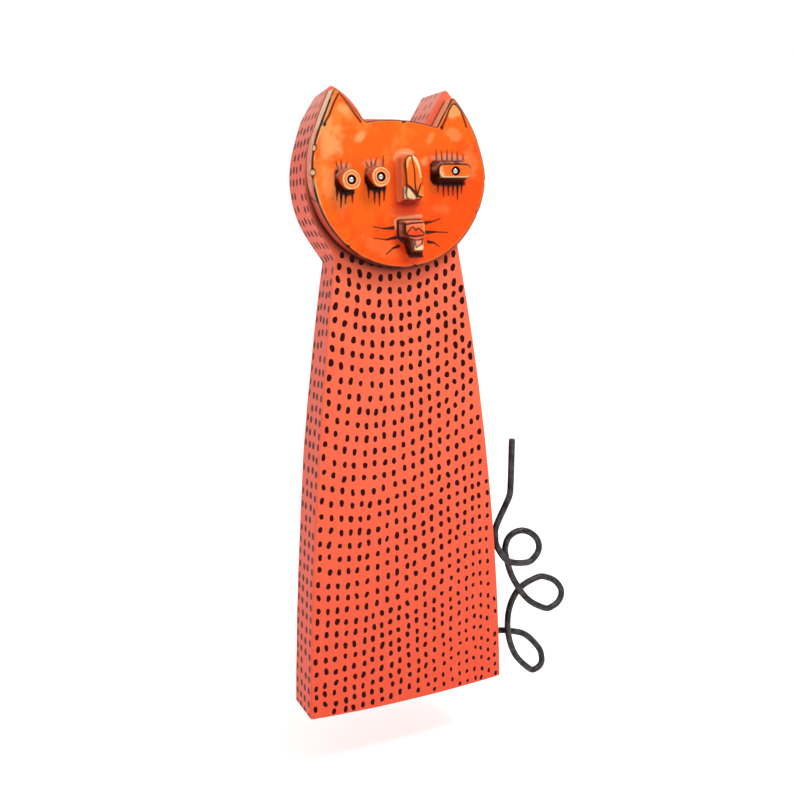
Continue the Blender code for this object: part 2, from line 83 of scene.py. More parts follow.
def aimed_camera():
    """Right, up and back are the columns of the turn: level axes first, then rolled about the view."""
    ahead = Vector((math.sin(camera_turn) * math.cos(camera_tilt),
                    math.cos(camera_turn) * math.cos(camera_tilt), math.sin(camera_tilt)))
    level = Vector((math.cos(camera_turn), -math.sin(camera_turn), 0.0))
    upright = level.cross(ahead)
    right = level * math.cos(camera_roll) + upright * math.sin(camera_roll)
    up = upright * math.cos(camera_roll) - level * math.sin(camera_roll)
    lens = bpy.data.cameras.new("camera")
    lens.sensor_width = sensor_width
    lens.lens = focal_pixels / frame_pixels * sensor_width
    lens.clip_start = 0.01
    camera = bpy.data.objects.new("camera", lens)
    bpy.context.scene.collection.objects.link(camera)
    turn = Matrix((right, up, -ahead)).transposed().to_4x4()
    camera.matrix_world = Matrix.Translation(camera_place) @ turn
    bpy.context.scene.camera = camera
    return camera


print("lens in mm:", round(aimed_camera().data.lens, 2))

# %% [markdown]
# ## Tools for every piece
# A surface is an array of points on a grid and the quads between them, so these few helpers are all
# that the pieces share: faces of a grid, a closed shell made from them, smooth steps, soft noise
# and the distance to a drawn line. Colour is painted on the points in layers, as a glazer would.

# %% Grids and shells
def grid_faces(rows, columns, start=0):
    """Quads between row i and i + 1, and column j and j + 1, where the last column meets the first."""
    i, j = np.meshgrid(np.arange(rows - 1), np.arange(columns), indexing="ij")
    k = (j + 1) % columns
    above = (i + 1) * columns
    quads = np.stack([i * columns + j, i * columns + k, above + k, above + j], -1)
    return (quads.reshape(-1, 4) + start).tolist()


def poles(rows, columns):
    """One face over the first row and one over the last."""
    return [list(range(columns)), list(range((rows - 1) * columns, rows * columns))]


def shell(name, points, faces, finishes, node, values=None, choice=None, crease=40):
    """A closed piece with outward faces, its values kept on its points, riding in place of its node."""
    mesh = bpy.data.meshes.new(name)
    mesh.from_pydata((points * mm).tolist(), [], faces)
    for label, numbers in (values or {}).items():
        if numbers.ndim == 1:
            mesh.attributes.new(label, "FLOAT", "POINT").data.foreach_set("value", numbers)
        else:
            tinted = np.column_stack([numbers, np.ones(len(numbers))])
            mesh.attributes.new(label, "FLOAT_COLOR", "POINT").data.foreach_set("color", tinted.ravel())
    if choice is not None:
        mesh.polygons.foreach_set("material_index", choice)
    shape = bmesh.new()
    shape.from_mesh(mesh)
    bmesh.ops.remove_doubles(shape, verts=shape.verts, dist=0.01 * mm)
    bmesh.ops.triangulate(shape, faces=[f for f in shape.faces if len(f.verts) > 4])
    bmesh.ops.recalc_face_normals(shape, faces=shape.faces)
    open_edges = sum(1 for edge in shape.edges if len(edge.link_faces) != 2)
    shape.to_mesh(mesh)
    shape.free()
    mesh.shade_smooth()
    mesh.set_sharp_from_angle(angle=math.radians(crease))
    for finish in finishes:
        mesh.materials.append(finish)
    piece = bpy.data.objects.new(name, mesh)
    bpy.context.scene.collection.objects.link(piece)
    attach(piece, "root")
    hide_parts(node)
    triangles = sum(len(p.vertices) - 2 for p in mesh.polygons)
    print(name, "triangles:", triangles, "open edges:", open_edges)
    return piece


def filled(outline, inner_loops=(), loose=None):
    """Triangles that fill an outline, split by loops and loose points inside it."""
    loops = [np.arange(len(outline))]
    points = [outline]
    count = len(outline)
    for loop in inner_loops:
        loops.append(np.arange(count, count + len(loop)))
        points.append(loop)
        count += len(loop)
    if loose is not None:
        points.append(loose)
    flat = [Vector(p) for p in np.vstack(points)]
    made = geometry.delaunay_2d_cdt(flat, [], [loop.tolist() for loop in loops], 1, 0.0001)
    corners, triangles, origins = made[0], made[2], made[5]
    inside = np.array([any(source > 0 for source in group) for group in origins], dtype=int)
    return np.array(corners), triangles, inside


# %% Soft steps, noise and drawn lines
def ramp(value, low, high):
    """A smooth step: 0 below low, 1 above high, with level ends."""
    share = np.clip((value - low) / (high - low), 0.0, 1.0)
    return share * share * (3 - 2 * share)


def cloud(x, z, size, seed):
    """Soft noise from 0 to 1: random heights on a square lattice, joined by smooth steps."""
    lattice = np.random.default_rng(seed).random((64, 64))
    u, v = x / size + 200, z / size + 200
    i, j = np.floor(u).astype(int), np.floor(v).astype(int)
    s, t = ramp(u - i, 0, 1), ramp(v - j, 0, 1)
    low = lattice[i % 64, j % 64] * (1 - s) + lattice[(i + 1) % 64, j % 64] * s
    high = lattice[i % 64, (j + 1) % 64] * (1 - s) + lattice[(i + 1) % 64, (j + 1) % 64] * s
    return low * (1 - t) + high * t


def off_line(x, z, route):
    """The distance from each point to a run of straight lines, and the share of the way along it."""
    route = np.array(route, dtype=float)
    lengths = np.hypot(*(route[1:] - route[:-1]).T)
    before = np.concatenate([[0.0], np.cumsum(lengths)])
    nearest, along = np.full(x.shape, 1e9), np.zeros(x.shape)
    for start, step, length, walked in zip(route[:-1], route[1:] - route[:-1], lengths, before):
        share = np.clip(((x - start[0]) * step[0] + (z - start[1]) * step[1]) / length ** 2, 0, 1)
        distance = np.hypot(x - start[0] - share * step[0], z - start[1] - share * step[1])
        closer = distance < nearest
        nearest = np.where(closer, distance, nearest)
        along = np.where(closer, (walked + share * length) / before[-1], along)
    return nearest, along


def mark(x, z, route, first_width, last_width=None, blur=0.35):
    """A brush line as a share from 0 to 1, tapering from its first width to its last."""
    last_width = first_width if last_width is None else last_width
    distance, along = off_line(x, z, route)
    half = (first_width + (last_width - first_width) * along) / 2
    return 1 - ramp(distance, half - blur / 2, half + blur)


def blot(x, z, middle, radii, turn=0.0, blur=0.35, ragged=0.25, seed=1):
    """A ragged oval as a share from 0 to 1: 1 inside, falling to 0 across its blurred edge."""
    c, s = math.cos(math.radians(turn)), math.sin(math.radians(turn))
    across, up = x - middle[0], z - middle[1]
    reach = np.hypot((across * c + up * s) / radii[0], (up * c - across * s) / radii[1])
    reach = reach + ragged * (cloud(x, z, 2.5, seed) - 0.5) + ragged * (cloud(x, z, 6, seed + 1) - 0.5)
    return 1 - ramp(reach, 1 - blur, 1 + blur)


studio_light = 1.58
gloss_veil = 0.006
darkest = 0.001


def paint(red, green, blue):
    """A colour as it should look in the lit front, 0 to 255, as the linear numbers that a shader takes.

    linear = ((share + 0.055) / 1.055) ^ 2.4, less the white that any gloss adds, over the light.
    """
    share = np.array([red, green, blue]) / 255
    linear = np.where(share <= 0.04045, share / 12.92, ((share + 0.055) / 1.055) ** 2.4)
    return np.maximum((linear - gloss_veil) / studio_light, darkest)


def lay(under, colour, share):
    """One layer of colour over another, by its share at each point."""
    share = np.asarray(share)[..., None]
    return under * (1 - share) + colour * share


def layered(under, *layers):
    """Layers of a colour and its share at each point, laid one after another."""
    for colour, share in layers:
        under = lay(under, colour, share)
    return under


# %% [markdown]
# ## Outlines
# Both flat pieces are cut to an outline of arcs, bowed lines and rounded corners. Bezier curves
# could follow it by eye, but arcs keep the few sizes that a maker would mark out with a compass.

# %% Arcs, bows and corners
def arc(middle, radius, start, end):
    """Points about a centre at one radius, from one angle to another, about 0.4 apart."""
    angles = np.linspace(start, end, max(3, int(abs(end - start) * radius / 0.4)))
    return np.stack([middle[0] + radius * np.cos(angles), middle[1] + radius * np.sin(angles)], 1)


def bowed(start, end, bow):
    """An arc over a chord, swelling to the right of its way by bow."""
    start, end = np.array(start, float), np.array(end, float)
    chord = end - start
    length = np.hypot(*chord)
    outward = np.array([chord[1], -chord[0]]) / length
    radius = (length ** 2 / 4 + bow ** 2) / (2 * bow)
    middle = (start + end) / 2 - outward * (radius - bow)
    first = math.atan2(*(start - middle)[::-1])
    return arc(middle, radius, first, first + 2 * math.asin(length / 2 / radius))


def touch(middle, radius, point, side):
    """The angle on a circle where a straight line from an outside point touches it."""
    away = np.array(point) - np.array(middle)
    return math.atan2(away[1], away[0]) + side * math.acos(radius / np.hypot(*away))


def rounded(before, corner, after, radius):
    """A quarter-round of any angle: a weighted curve from edge to edge, pulled to the corner."""
    before, corner, after = (np.array(p, float) for p in (before, corner, after))
    one, other = ((p - corner) / np.hypot(*(p - corner)) for p in (before, after))
    half = math.acos(np.clip(one @ other, -1, 1)) / 2
    first, last = corner + one * radius / math.tan(half), corner + other * radius / math.tan(half)
    t = np.linspace(0, 1, 9)[:, None]
    weights = (1 - t) ** 2, 2 * t * (1 - t) * math.sin(half), t ** 2
    return (weights[0] * first + weights[1] * corner + weights[2] * last) / sum(weights)


def even(runs, spacing):
    """Runs of points joined as one closed outline and spaced evenly along it."""
    points = np.vstack(runs)
    points = np.vstack([points, points[:1]])
    walked = np.concatenate([[0], np.cumsum(np.hypot(*np.diff(points, axis=0).T))])
    places = np.linspace(0, walked[-1], int(walked[-1] / spacing) + 1)[:-1]
    return np.stack([np.interp(places, walked, points[:, k]) for k in (0, 1)], 1)


def inset(outline, depth):
    """The outline moved in along its own normals."""
    along = np.roll(outline, -1, 0) - np.roll(outline, 1, 0)
    outward = np.stack([along[:, 1], -along[:, 0]], 1) / np.hypot(*along.T)[:, None]
    return outline - outward * np.asarray(depth)[..., None]


def ear(middle, radius, tip_angle, reach, notch_angle, cut):
    """An ear's tip beyond the arc it grows from, and its notch within the arc."""
    tip, notch = math.radians(tip_angle), math.radians(notch_angle)
    return (np.array(middle) + (radius + reach) * np.array([math.cos(tip), math.sin(tip)]),
            np.array(middle) + (radius - cut) * np.array([math.cos(notch), math.sin(notch)]))


# %% The cat's outline in wood
board_thickness = 38.0
board_edge = 1.2
hang_height = 424.0
base_half_width, base_bow = 86.5, 3.0
neck_half_width, body_bow, flank_lean = 52.5, 6.1, 1.8
neck_undercut, neck_undercut_drop, neck_undercut_length = 3.4, 4.0, 148.0
head_radius, head_past_middle, head_drop, neck_past_arc = 78.1, 4.5, 5.5, 2.2
right_neck_step, right_cut_bow, right_cut_meets_head = (-1.2, 6.6), 1.4, math.radians(-19.6)
wood_top_bow, left_ear_inner_bow, wood_ear_leaves_early = 1.2, 3.2, math.radians(8)
left_ear_lean, left_ear_lean_from = (2.6, -2.2), 40.0
ear_tip_radius, wood_tip_radius, notch_radius, base_corner_radius = 2.0, 3.0, 1.5, 1.4
# An ear: degrees and reach past the arc of its tip, then degrees and depth in the arc of its notch.
wood_left_ear, wood_right_ear = (129.6, 10.0, 124.9, 24.3), (56.0, 5.2, 55.3, 27.2)
wood_spacing = 0.9
neck_height = -head_drop - math.sqrt((head_radius + neck_past_arc) ** 2
                                     - (neck_half_width + head_past_middle) ** 2)


def flank(bow):
    """The bowed line from the right end of the base up to the neck."""
    return bowed((base_half_width, -hang_height), (neck_half_width, neck_height), bow)


def outer_ear_edge(middle, tip, side):
    """Where the ear leaves the head's arc, and the arc from there that sets off along it to the tip."""
    leaves = touch(middle, head_radius, tip, side) + side * wood_ear_leaves_early
    start = np.array(middle) + head_radius * np.array([math.cos(leaves), math.sin(leaves)])
    chord = tip - start
    way = side * np.array([math.sin(leaves), -math.cos(leaves)])
    turn = math.acos(way @ chord / np.hypot(*chord))
    bow = np.hypot(*chord) / 2 * math.tan(turn / 2)
    return leaves, bowed(start, tip, bow) if side < 0 else bowed(tip, start, bow)


def wood_outline():
    """Base, bowed flank, head arc and ear up one side and down the other, anticlockwise."""
    mirror = np.array([-1.0, 1.0])
    right_middle, left_middle = (-head_past_middle, -head_drop), (head_past_middle, -head_drop)
    neck = np.array([neck_half_width, neck_height])
    right_tip, right_notch = ear(right_middle, head_radius, *wood_right_ear)
    left_tip, left_notch = ear(left_middle, head_radius, *wood_left_ear)
    right_leaves, right_edge = outer_ear_edge(right_middle, right_tip, -1)
    left_leaves, left_edge = outer_ear_edge(left_middle, left_tip, 1)
    right = arc(right_middle, head_radius, right_cut_meets_head, right_leaves)
    right_corner = neck + right_neck_step
    right_cut = bowed(right_corner, right[0], right_cut_bow)
    left = arc(left_middle, head_radius, left_leaves,
               touch(left_middle, head_radius, neck * mirror, -1) + 2 * math.pi)
    base = bowed((-base_half_width, -hang_height), (base_half_width, -hang_height), base_bow)
    right_flank = flank(body_bow + flank_lean)
    left_flank = (flank(body_bow - flank_lean) * mirror)[::-1]
    left_inner = bowed(left_notch, left_tip, left_ear_inner_bow)
    trim, tip_trim = 8, 14
    return even([
        base[len(base) // 2:-trim],
        rounded(base[-trim], right_flank[0], right_flank[trim], base_corner_radius),
        right_flank[trim:],
        rounded(neck, right_corner, right_cut[trim], notch_radius),
        right_cut[trim:-1],
        right,
        right_edge[:-tip_trim],
        rounded(right_edge[-trim], right_tip, right_notch, wood_tip_radius),
        rounded(right_tip, right_notch, left_notch, notch_radius),
        bowed(right_notch, left_notch, wood_top_bow)[trim:-trim],
        rounded(right_notch, left_notch, left_inner[trim], notch_radius),
        left_inner[trim:-tip_trim],
        rounded(left_inner[-trim], left_tip, left_edge[trim], wood_tip_radius),
        left_edge[tip_trim:],
        left,
        rounded(left[-1], neck * mirror, left_flank[trim], notch_radius),
        left_flank[trim:-trim],
        rounded(left_flank[-trim], left_flank[-1], base[trim], base_corner_radius),
        base[trim:len(base) // 2],
    ], wood_spacing)


def undercut(outline, back_share):
    """Below the neck and at the left ear the saw leaned in: the outline shrinks towards the back."""
    x, z = outline.T
    up_ear = (z - left_ear_lean_from) / (z[x < 0].max() - left_ear_lean_from)
    up_ear = np.where(x < 0, np.maximum(up_ear, 0), 0)[:, None] * back_share
    below = neck_height + np.where(x > 0, right_neck_step[1], 0) - z
    narrower = np.interp(below, (-13, 0, neck_undercut_length), (0, 1, 0)) * back_share
    lower = np.interp(below, (-13, 0, 45), (0, 1, 0)) * back_share
    leaned = np.stack([neck_undercut * narrower * np.sign(x), neck_undercut_drop * lower], 1)
    return outline + up_ear * left_ear_lean - leaned


wood = wood_outline()
print("wood outline points:", len(wood), "from", wood.min(0).round(1), "to", wood.max(0).round(1))

# %% [markdown]
# ## Finishes
# Each finish is one short node tree. The paint and the glaze take their pattern from colours kept
# on the points, and the shader adds what is finer than the mesh: brush streaks, specks, a ripple
# in the surface. Object coordinates hold all of it still on the piece from every side.

# %% Node helpers
def finish_tree(name, roughness, **sockets):
    """A new material and its shader, with the sockets that are the same all over set on it."""
    material = bpy.data.materials.new(name)
    material.use_nodes = True
    shader = material.node_tree.nodes["Principled BSDF"]
    shader.inputs["Roughness"].default_value = roughness
    for label, value in sockets.items():
        shader.inputs[label.replace("_", " ")].default_value = value
    return material, material.node_tree, shader


def put(tree, kind, *values, out=0, **settings):
    """A node with its settings, its inputs linked or set in order, and one output handed back."""
    node = tree.nodes.new(kind)
    for label, value in settings.items():
        setattr(node, label, value)
    for socket, value in zip(node.inputs, values):
        if isinstance(value, bpy.types.NodeSocket):
            tree.links.new(value, socket)
        elif value is not None:
            socket.default_value = value
    return node.outputs[out]


def sums(tree, operation, *values):
    """One step of arithmetic on numbers and outputs of nodes."""
    return put(tree, "ShaderNodeMath", *values, operation=operation)


def place_of(tree, scale=(1, 1, 1)):
    """Object coordinates in metres, stretched so that one noise cell can be long or wide."""
    here = tree.nodes.new("ShaderNodeTexCoord").outputs["Object"]
    return put(tree, "ShaderNodeMapping", here, None, None, scale)


def noise(tree, place, size, detail=3.0, rough=0.55):
    """Soft noise with cells of about size, in millimetres, as one number."""
    return put(tree, "ShaderNodeTexNoise", place, None, 1000.0 / size, detail, rough,
               noise_dimensions="3D")


def between(tree, value, low, high, new_low=0.0, new_high=1.0):
    """A straight line from one range to another, level beyond its ends."""
    return put(tree, "ShaderNodeMapRange", value, low, high, new_low, new_high)


def blend(tree, share, one, other):
    """Two colours mixed by a share."""
    node = tree.nodes.new("ShaderNodeMix")
    node.data_type = "RGBA"
    for index, value in ((0, share), (6, one), (7, other)):
        if isinstance(value, bpy.types.NodeSocket):
            tree.links.new(value, node.inputs[index])
        elif index == 0:
            node.inputs[0].default_value = value
        else:
            node.inputs[index].default_value = (*value, 1.0)
    return node.outputs[2]


def kept(tree, label, out="Fac"):
    """A value that the mesh keeps on its points."""
    node = tree.nodes.new("ShaderNodeAttribute")
    node.attribute_name = label
    return node.outputs[out]


def rippled(tree, shader, height, distance):
    """A bump of so many millimetres from a height between 0 and 1."""
    bump = tree.nodes.new("ShaderNodeBump")
    bump.inputs["Distance"].default_value = distance * mm
    tree.links.new(height, bump.inputs["Height"])
    tree.links.new(bump.outputs["Normal"], shader.inputs["Normal"])


# %% Coral paint with dashes along the sawn edge
dash_row, flank_columns, head_columns = 9.8, 4, 5
dash_half_length, dash_half_width, dash_squareness = 0.28, 0.27, 2.4
dash_strays, dashes_left_out = (0.10, 0.12), 0.06
# Where the painted shadow round the slab is darkest and where it fades, and the shift to the slab's
# middle.
slab_shadow_radii, slab_shadow_to_middle = (71.5, 79.5), (1.8, 0, 0)


def coral_paint():
    """Coral brushed up and down the board. Dashes sit in cells of edge length by depth:

    |row / half length|^n + |column / half width|^n < 1, with both from -0.5 to 0.5 in a cell, and n
    for how square a dash is.
    """
    material, tree, shader = finish_tree("coral paint", 0.6, Specular_IOR_Level=0.12)
    streaks = noise(tree, place_of(tree, (1, 1, 0.16)), 3.2)
    clouds = noise(tree, place_of(tree), 45, 2.0)
    depth, height = (put(tree, "ShaderNodeSeparateXYZ", place_of(tree), out=k) for k in (1, 2))
    # The coral is deeper towards the base: partly the paint's own colour, partly painted shade.
    high = between(tree, height, -0.42, -0.10)
    coral = blend(tree, high, paint(246, 90, 62), paint(255, 116, 82))
    coral = blend(tree, between(tree, clouds, 0.4, 0.7, 0, 0.35), coral, paint(250, 96, 66))
    # Painted light and shade on the sawn side: darker low down, lighter high up, and paler pink near the
    # ears.
    sawn = blend(tree, high, paint(252, 106, 86), paint(255, 118, 98))
    near_ears = between(tree, height, 0.015, 0.060)
    sawn = blend(tree, near_ears, sawn, paint(255, 168, 152))
    coral = blend(tree, kept(tree, "sawn"), coral, sawn)
    coral = blend(tree, between(tree, streaks, 0.5, 0.85, 0, 0.25), coral, paint(255, 142, 110))
    # Painted shadow: a dark band on the board's front just outside the slab, below its middle.
    in_plan = place_of(tree, (1 / mm, 0, 1 / mm))
    centred = put(tree, "ShaderNodeVectorMath", in_plan, slab_shadow_to_middle, operation="ADD")
    from_slab = put(tree, "ShaderNodeVectorMath", centred, out=1, operation="LENGTH")
    low = between(tree, height, 0.005, -0.035, 0, 0.95)
    in_front = between(tree, depth, -0.0355, -0.0365)
    painted_slab_shadow = sums(tree, "POWER", between(tree, from_slab, *slab_shadow_radii, 1, 0), 1.5)
    painted_slab_shadow = sums(tree, "MULTIPLY", sums(tree, "MULTIPLY", painted_slab_shadow, low), in_front)
    coral = blend(tree, painted_slab_shadow, coral, paint(70, 22, 16))
    u, v = sums(tree, "DIVIDE", kept(tree, "along"), dash_row), kept(tree, "column")
    cell = put(tree, "ShaderNodeCombineXYZ", sums(tree, "FLOOR", u), sums(tree, "FLOOR", v), 0.0)
    random = put(tree, "ShaderNodeTexWhiteNoise", cell, out=1)
    other = put(tree, "ShaderNodeSeparateColor", random).node.outputs
    reaches = []
    for way, chance, stray, half in ((u, other[0], dash_strays[0], dash_half_length),
                                     (v, other[1], dash_strays[1], dash_half_width)):
        way = sums(tree, "SUBTRACT", sums(tree, "FRACT", way), 0.5)
        way = sums(tree, "ADD", way, between(tree, chance, 0, 1, -stray, stray))
        way = sums(tree, "ABSOLUTE", sums(tree, "DIVIDE", way, half))
        reaches.append(sums(tree, "POWER", way, dash_squareness))
    reach = sums(tree, "ADD", *reaches)
    shown = sums(tree, "MULTIPLY", between(tree, reach, 0.75, 1.3, 1, 0), kept(tree, "dashed"))
    present = sums(tree, "GREATER_THAN", other[2], dashes_left_out)
    share = sums(tree, "MULTIPLY", sums(tree, "MULTIPLY", shown, present), 0.9)
    finished = blend(tree, share, coral, paint(50, 24, 28))
    tree.links.new(finished, shader.inputs["Base Color"])
    grain = sums(tree, "ADD", streaks, sums(tree, "MULTIPLY", noise(tree, place_of(tree), 1.1), 0.4))
    rippled(tree, shader, grain, 0.16)
    return material


def spot_paint():
    """Near-black paint, thin enough in places for the coral to glow through."""
    material, tree, shader = finish_tree("spot paint", 0.5, Specular_IOR_Level=0.06)
    thin = between(tree, noise(tree, place_of(tree), 2.2), 0.60, 0.80, 0, 0.55)
    tree.links.new(blend(tree, thin, paint(54, 18, 14), paint(112, 48, 36)), shader.inputs["Base Color"])
    rippled(tree, shader, noise(tree, place_of(tree), 1.4), 0.10)
    return material


coral, spots = coral_paint(), spot_paint()

# %% [markdown]
# ## The board
# A plank with sawn sides and eased edges is a profile carried round the outline: back edge, side,
# front edge. Its two flat faces are filled in. The spots are only colour, but crisp, so each one is
# a loop in the front face with its own paint rather than a blurred pattern.

# %% Rows of spots
guide_x = np.arange(-80, 81, 20)
guide_rows = np.array([-3, 0, 6, 10, 15, 21, 25, 29, 33, 36])
guide_heights = np.array([
    (-46, -56, -63, -67.5, -68.5, -64, -55, -43, -30),
    (-70, -83, -92, -97, -98.5, -95, -87.5, -76, -62),
    (-140, -151.5, -158, -160.5, -160, -156.5, -148, -136, -124),
    (-184, -194, -200.5, -203, -199.5, -195.5, -187, -175, -166),
    (-244, -250.5, -255.5, -254, -251, -246, -239, -234.5, -229),
    (-312.5, -317.5, -318.5, -316.5, -312, -304.5, -297, -290.5, -289.5),
    (-355.5, -357.5, -357.5, -356.5, -352, -345.5, -337, -329, -331),
    (-398, -396.7, -395, -393, -387, -380, -372, -366, -374.5),
    (-431, -430.5, -430, -428, -423.5, -415, -408, -403, -411),
    (-458, -458, -457, -455, -450, -441, -435, -430, -437),
])
guide_curves = np.array([np.polyfit(guide_x / 80, heights, 6) for heights in guide_heights])
left_pitch, left_column_in = 8.15, 4.2
spots_end_in, lowest_spot, spot_margin = 3.1, -422.5, 1.6
spot_half_width, spot_half_height, spot_squareness = 1.72, 2.65, 2.5
right_columns = np.array([0, 8.1, 16.1, 24, 31.8, 39.5, 47, 54.2, 61.2, 68, 74.8, 81.6])


def row_height(row, x):
    """A row's sag as a curve across the board, mixed from the guide rows above and below it."""
    curve = [np.interp(row, guide_rows, guide_curves[:, k]) for k in range(guide_curves.shape[1])]
    return sum(c * (x / 80) ** (len(curve) - 1 - k) for k, c in enumerate(curve))


def half_width(z, bow=body_bow):
    """Half the board's width at a height: the flank below the neck, the head arc above it."""
    side = flank(bow)
    head = np.sqrt(np.maximum(head_radius ** 2 - (z + head_drop) ** 2, 0)) - head_past_middle
    return np.where(z < neck_height, np.interp(z, side[:, 1], side[:, 0]), head)


def spot_places():
    """Columns keep step with the left edge on the left and hang straight down on the right."""
    places = []
    for row in range(-3, 36):
        edge = -60.0
        for _ in range(3):
            edge = -float(half_width(row_height(row, edge), body_bow - flank_lean)) + left_column_in
        count = max(1, round(-edge / left_pitch))
        left = edge + left_pitch * np.arange(count)
        slack = -left_pitch - left[-1]
        left = left + slack * np.clip((left + 40) / 40, 0, 1)
        x = np.concatenate([left, right_columns])
        places.append(np.stack([x, row_height(row, x)], 1))
    places = np.vstack(places)
    random = np.random.default_rng(7)
    places += random.normal(0, 1, places.shape) * np.array([0.5, 0.55])
    x, z = places.T
    room = np.where(x > 0, half_width(z, body_bow + flank_lean), half_width(z, body_bow - flank_lean))
    past_right_cut = (x > neck_half_width - spots_end_in) & (z > neck_height)
    return places[(np.abs(x) < room - spots_end_in) & (z > lowest_spot) & ~past_right_cut]


def edge_at(x, z):
    """How far out the board reaches at a height, on the side that x is on."""
    reach = []
    for way in (1, -1):
        edge = wood[(wood[:, 0] * way > 40) & (wood[:, 1] > 1 - hang_height) & (wood[:, 1] < 20)]
        edge = edge[edge[:, 1].argsort()]
        reach.append(np.interp(z, edge[:, 1], edge[:, 0] * way))
    return np.where(x > 0, *reach)


def spot_loops(places):
    """Each dab is a squarish oval in polar form, tilted, with a slow wobble in its radius.

    One that would run over the rounded edge is moved in until it is clear of it.
    """
    random = np.random.default_rng(11)
    angle = np.linspace(0, 2 * math.pi, 17)[None, :-1]
    count = len(places)
    smaller = 1 - 0.24 * ramp(places[:, 0] - 0.35 * (places[:, 1] + 330), 10, 70)
    bolder = 1 + 0.12 * ramp(places[:, 1], -190, -90)
    wide = (spot_half_width * smaller * bolder * random.normal(1, 0.07, count))[:, None]
    tall = (spot_half_height * smaller * bolder * random.normal(1, 0.09, count))[:, None]
    tilt = np.radians(random.normal(-4, 9, count))[:, None]
    phase = random.random((2, count, 1)) * 2 * math.pi
    reach = (np.abs(np.cos(angle) / wide) ** spot_squareness
             + np.abs(np.sin(angle) / tall) ** spot_squareness) ** (-1 / spot_squareness)
    reach = reach * (1 + 0.06 * np.sin(2 * angle + phase[0]) + 0.05 * np.sin(3 * angle + phase[1]))
    turned = angle + tilt
    loops = np.stack([places[:, :1] + reach * np.cos(turned),
                      places[:, 1:] + reach * np.sin(turned)], -1)
    base = -hang_height - base_bow * (1 - (loops[..., 0] / base_half_width) ** 2)
    loops[..., 1] += np.maximum((base + spot_margin - loops[..., 1]).max(1), 0)[:, None]
    past_edge = np.abs(loops[..., 0]) + spot_margin - edge_at(loops[..., 0], loops[..., 1])
    loops[..., 0] -= np.sign(places[:, :1]) * np.maximum(past_edge.max(1), 0)[:, None]
    return loops


places = spot_places()
print("spots:", len(places))


# %% The board's surface
def board_shell():
    """Rings of (inset, depth) carried round the outline, with both flat faces filled."""
    quarter = np.linspace(0, math.pi / 2, 5)
    eased = board_edge * (1 - np.cos(quarter))
    back = np.stack([eased[::-1], -board_edge * (1 - np.sin(quarter[::-1]))], 1)
    side = np.stack([np.zeros(9), -np.linspace(board_edge, board_thickness - board_edge, 11)[1:-1]], 1)
    front = np.stack([eased, -board_thickness + board_edge * (1 - np.sin(quarter))], 1)
    profile = np.vstack([back, side, front])
    walked = np.arange(len(wood)) * wood_spacing
    rings = []
    for depth_in, y in profile:
        wave = 0.10 + 0.06 * np.sin(walked / 23 + y / 9) + 0.04 * np.sin(walked / 7.3 - y / 5)
        ring = inset(undercut(wood, 1 + y / board_thickness), depth_in + wave)
        rings.append(np.stack([ring[:, 0], np.full(len(ring), y), ring[:, 1]], 1))
    rings = np.array(rings)
    rows, columns = rings.shape[:2]
    faces = grid_faces(rows, columns)
    points = [rings.reshape(-1, 3)]
    choice = [0] * len(faces)
    start = rows * columns
    for ring, loops in ((rings[0], ()), (rings[-1], spot_loops(places))):
        corners, triangles, inside = filled(ring[:, [0, 2]], loops)
        points.append(np.stack([corners[:, 0], np.full(len(corners), ring[0, 1]), corners[:, 1]], 1))
        faces += [[start + k for k in triangle] for triangle in triangles]
        choice += inside.tolist()
        start += len(corners)
    points = np.vstack(points)
    flat = len(points) - rows * columns
    along = np.concatenate([np.tile(walked, rows), np.zeros(flat)])
    up_head = ramp(rings[:, :, 2], neck_height - 12, neck_height + 12)
    columns_here = flank_columns + (head_columns - flank_columns) * up_head
    column = (-rings[:, :, 1] / board_thickness * columns_here).ravel()
    column = np.concatenate([column, np.zeros(flat)])
    sides = ramp(-rings[:, :, 1], 0.8, 2) * ramp(board_thickness + rings[:, :, 1], 0.8, 1.6)
    near_ears = 1 - 0.6 * ramp(rings[:, :, 2], 25, 55)
    sawn = np.concatenate([sides.ravel(), np.zeros(flat)])
    dashed = np.concatenate([(sides * near_ears).ravel(), np.zeros(flat)])
    return shell("board_painted", points, faces, [coral, spots], "board",
                 {"along": along, "column": column, "sawn": sawn, "dashed": dashed}, choice)


board_shell()

# %% [markdown]
# ## The glazed face
# The clay slab is a disc with two ears, and its face is almost flat, so a fine net of points is
# spread over it, finest where lines are cut and along the rim. The lines are pressed into the net,
# chips are bitten out of the rim, and the glaze is then painted over everything in layers.

# %% The slab's outline
clay_gap = 0.3
slab_thickness = 13.3
slab_edge = 1.2
clay_back = -(board_thickness + clay_gap)
clay_front = clay_back - slab_thickness
disc_radius, disc_middle = 71.2, (-1.8, 0.0)
clay_left_ear, clay_right_ear = (130.9, 7.0, 128.6, 26.2), (51.8, -1.0, 47.9, 27.2)
ears_leave_disc = math.radians(153), math.radians(356)
left_ear_bow, right_ear_bow, clay_top_bow = 0.3, 5.8, 3.2
clay_spacing = 0.5


def clay_outline():
    """Round the disc from ear to ear, then over both ears with a low bow between them."""
    right_tip, right_notch = ear(disc_middle, disc_radius, *clay_right_ear)
    left_tip, left_notch = ear(disc_middle, disc_radius, *clay_left_ear)
    disc = arc(disc_middle, disc_radius, *ears_leave_disc)
    right_edge = bowed(disc[-1], right_tip, right_ear_bow)
    left_edge = bowed(left_tip, disc[0], left_ear_bow)
    trim = 8
    return even([
        disc,
        right_edge[trim:-trim],
        rounded(right_edge[-trim], right_tip, right_notch, ear_tip_radius),
        rounded(right_tip, right_notch, left_notch, notch_radius),
        bowed(right_notch, left_notch, clay_top_bow)[trim:-trim],
        rounded(right_notch, left_notch, left_tip, notch_radius),
        rounded(left_notch, left_tip, left_edge[trim], ear_tip_radius),
        left_edge[trim:-trim],
    ], clay_spacing)


clay = clay_outline()
print("clay outline points:", len(clay))

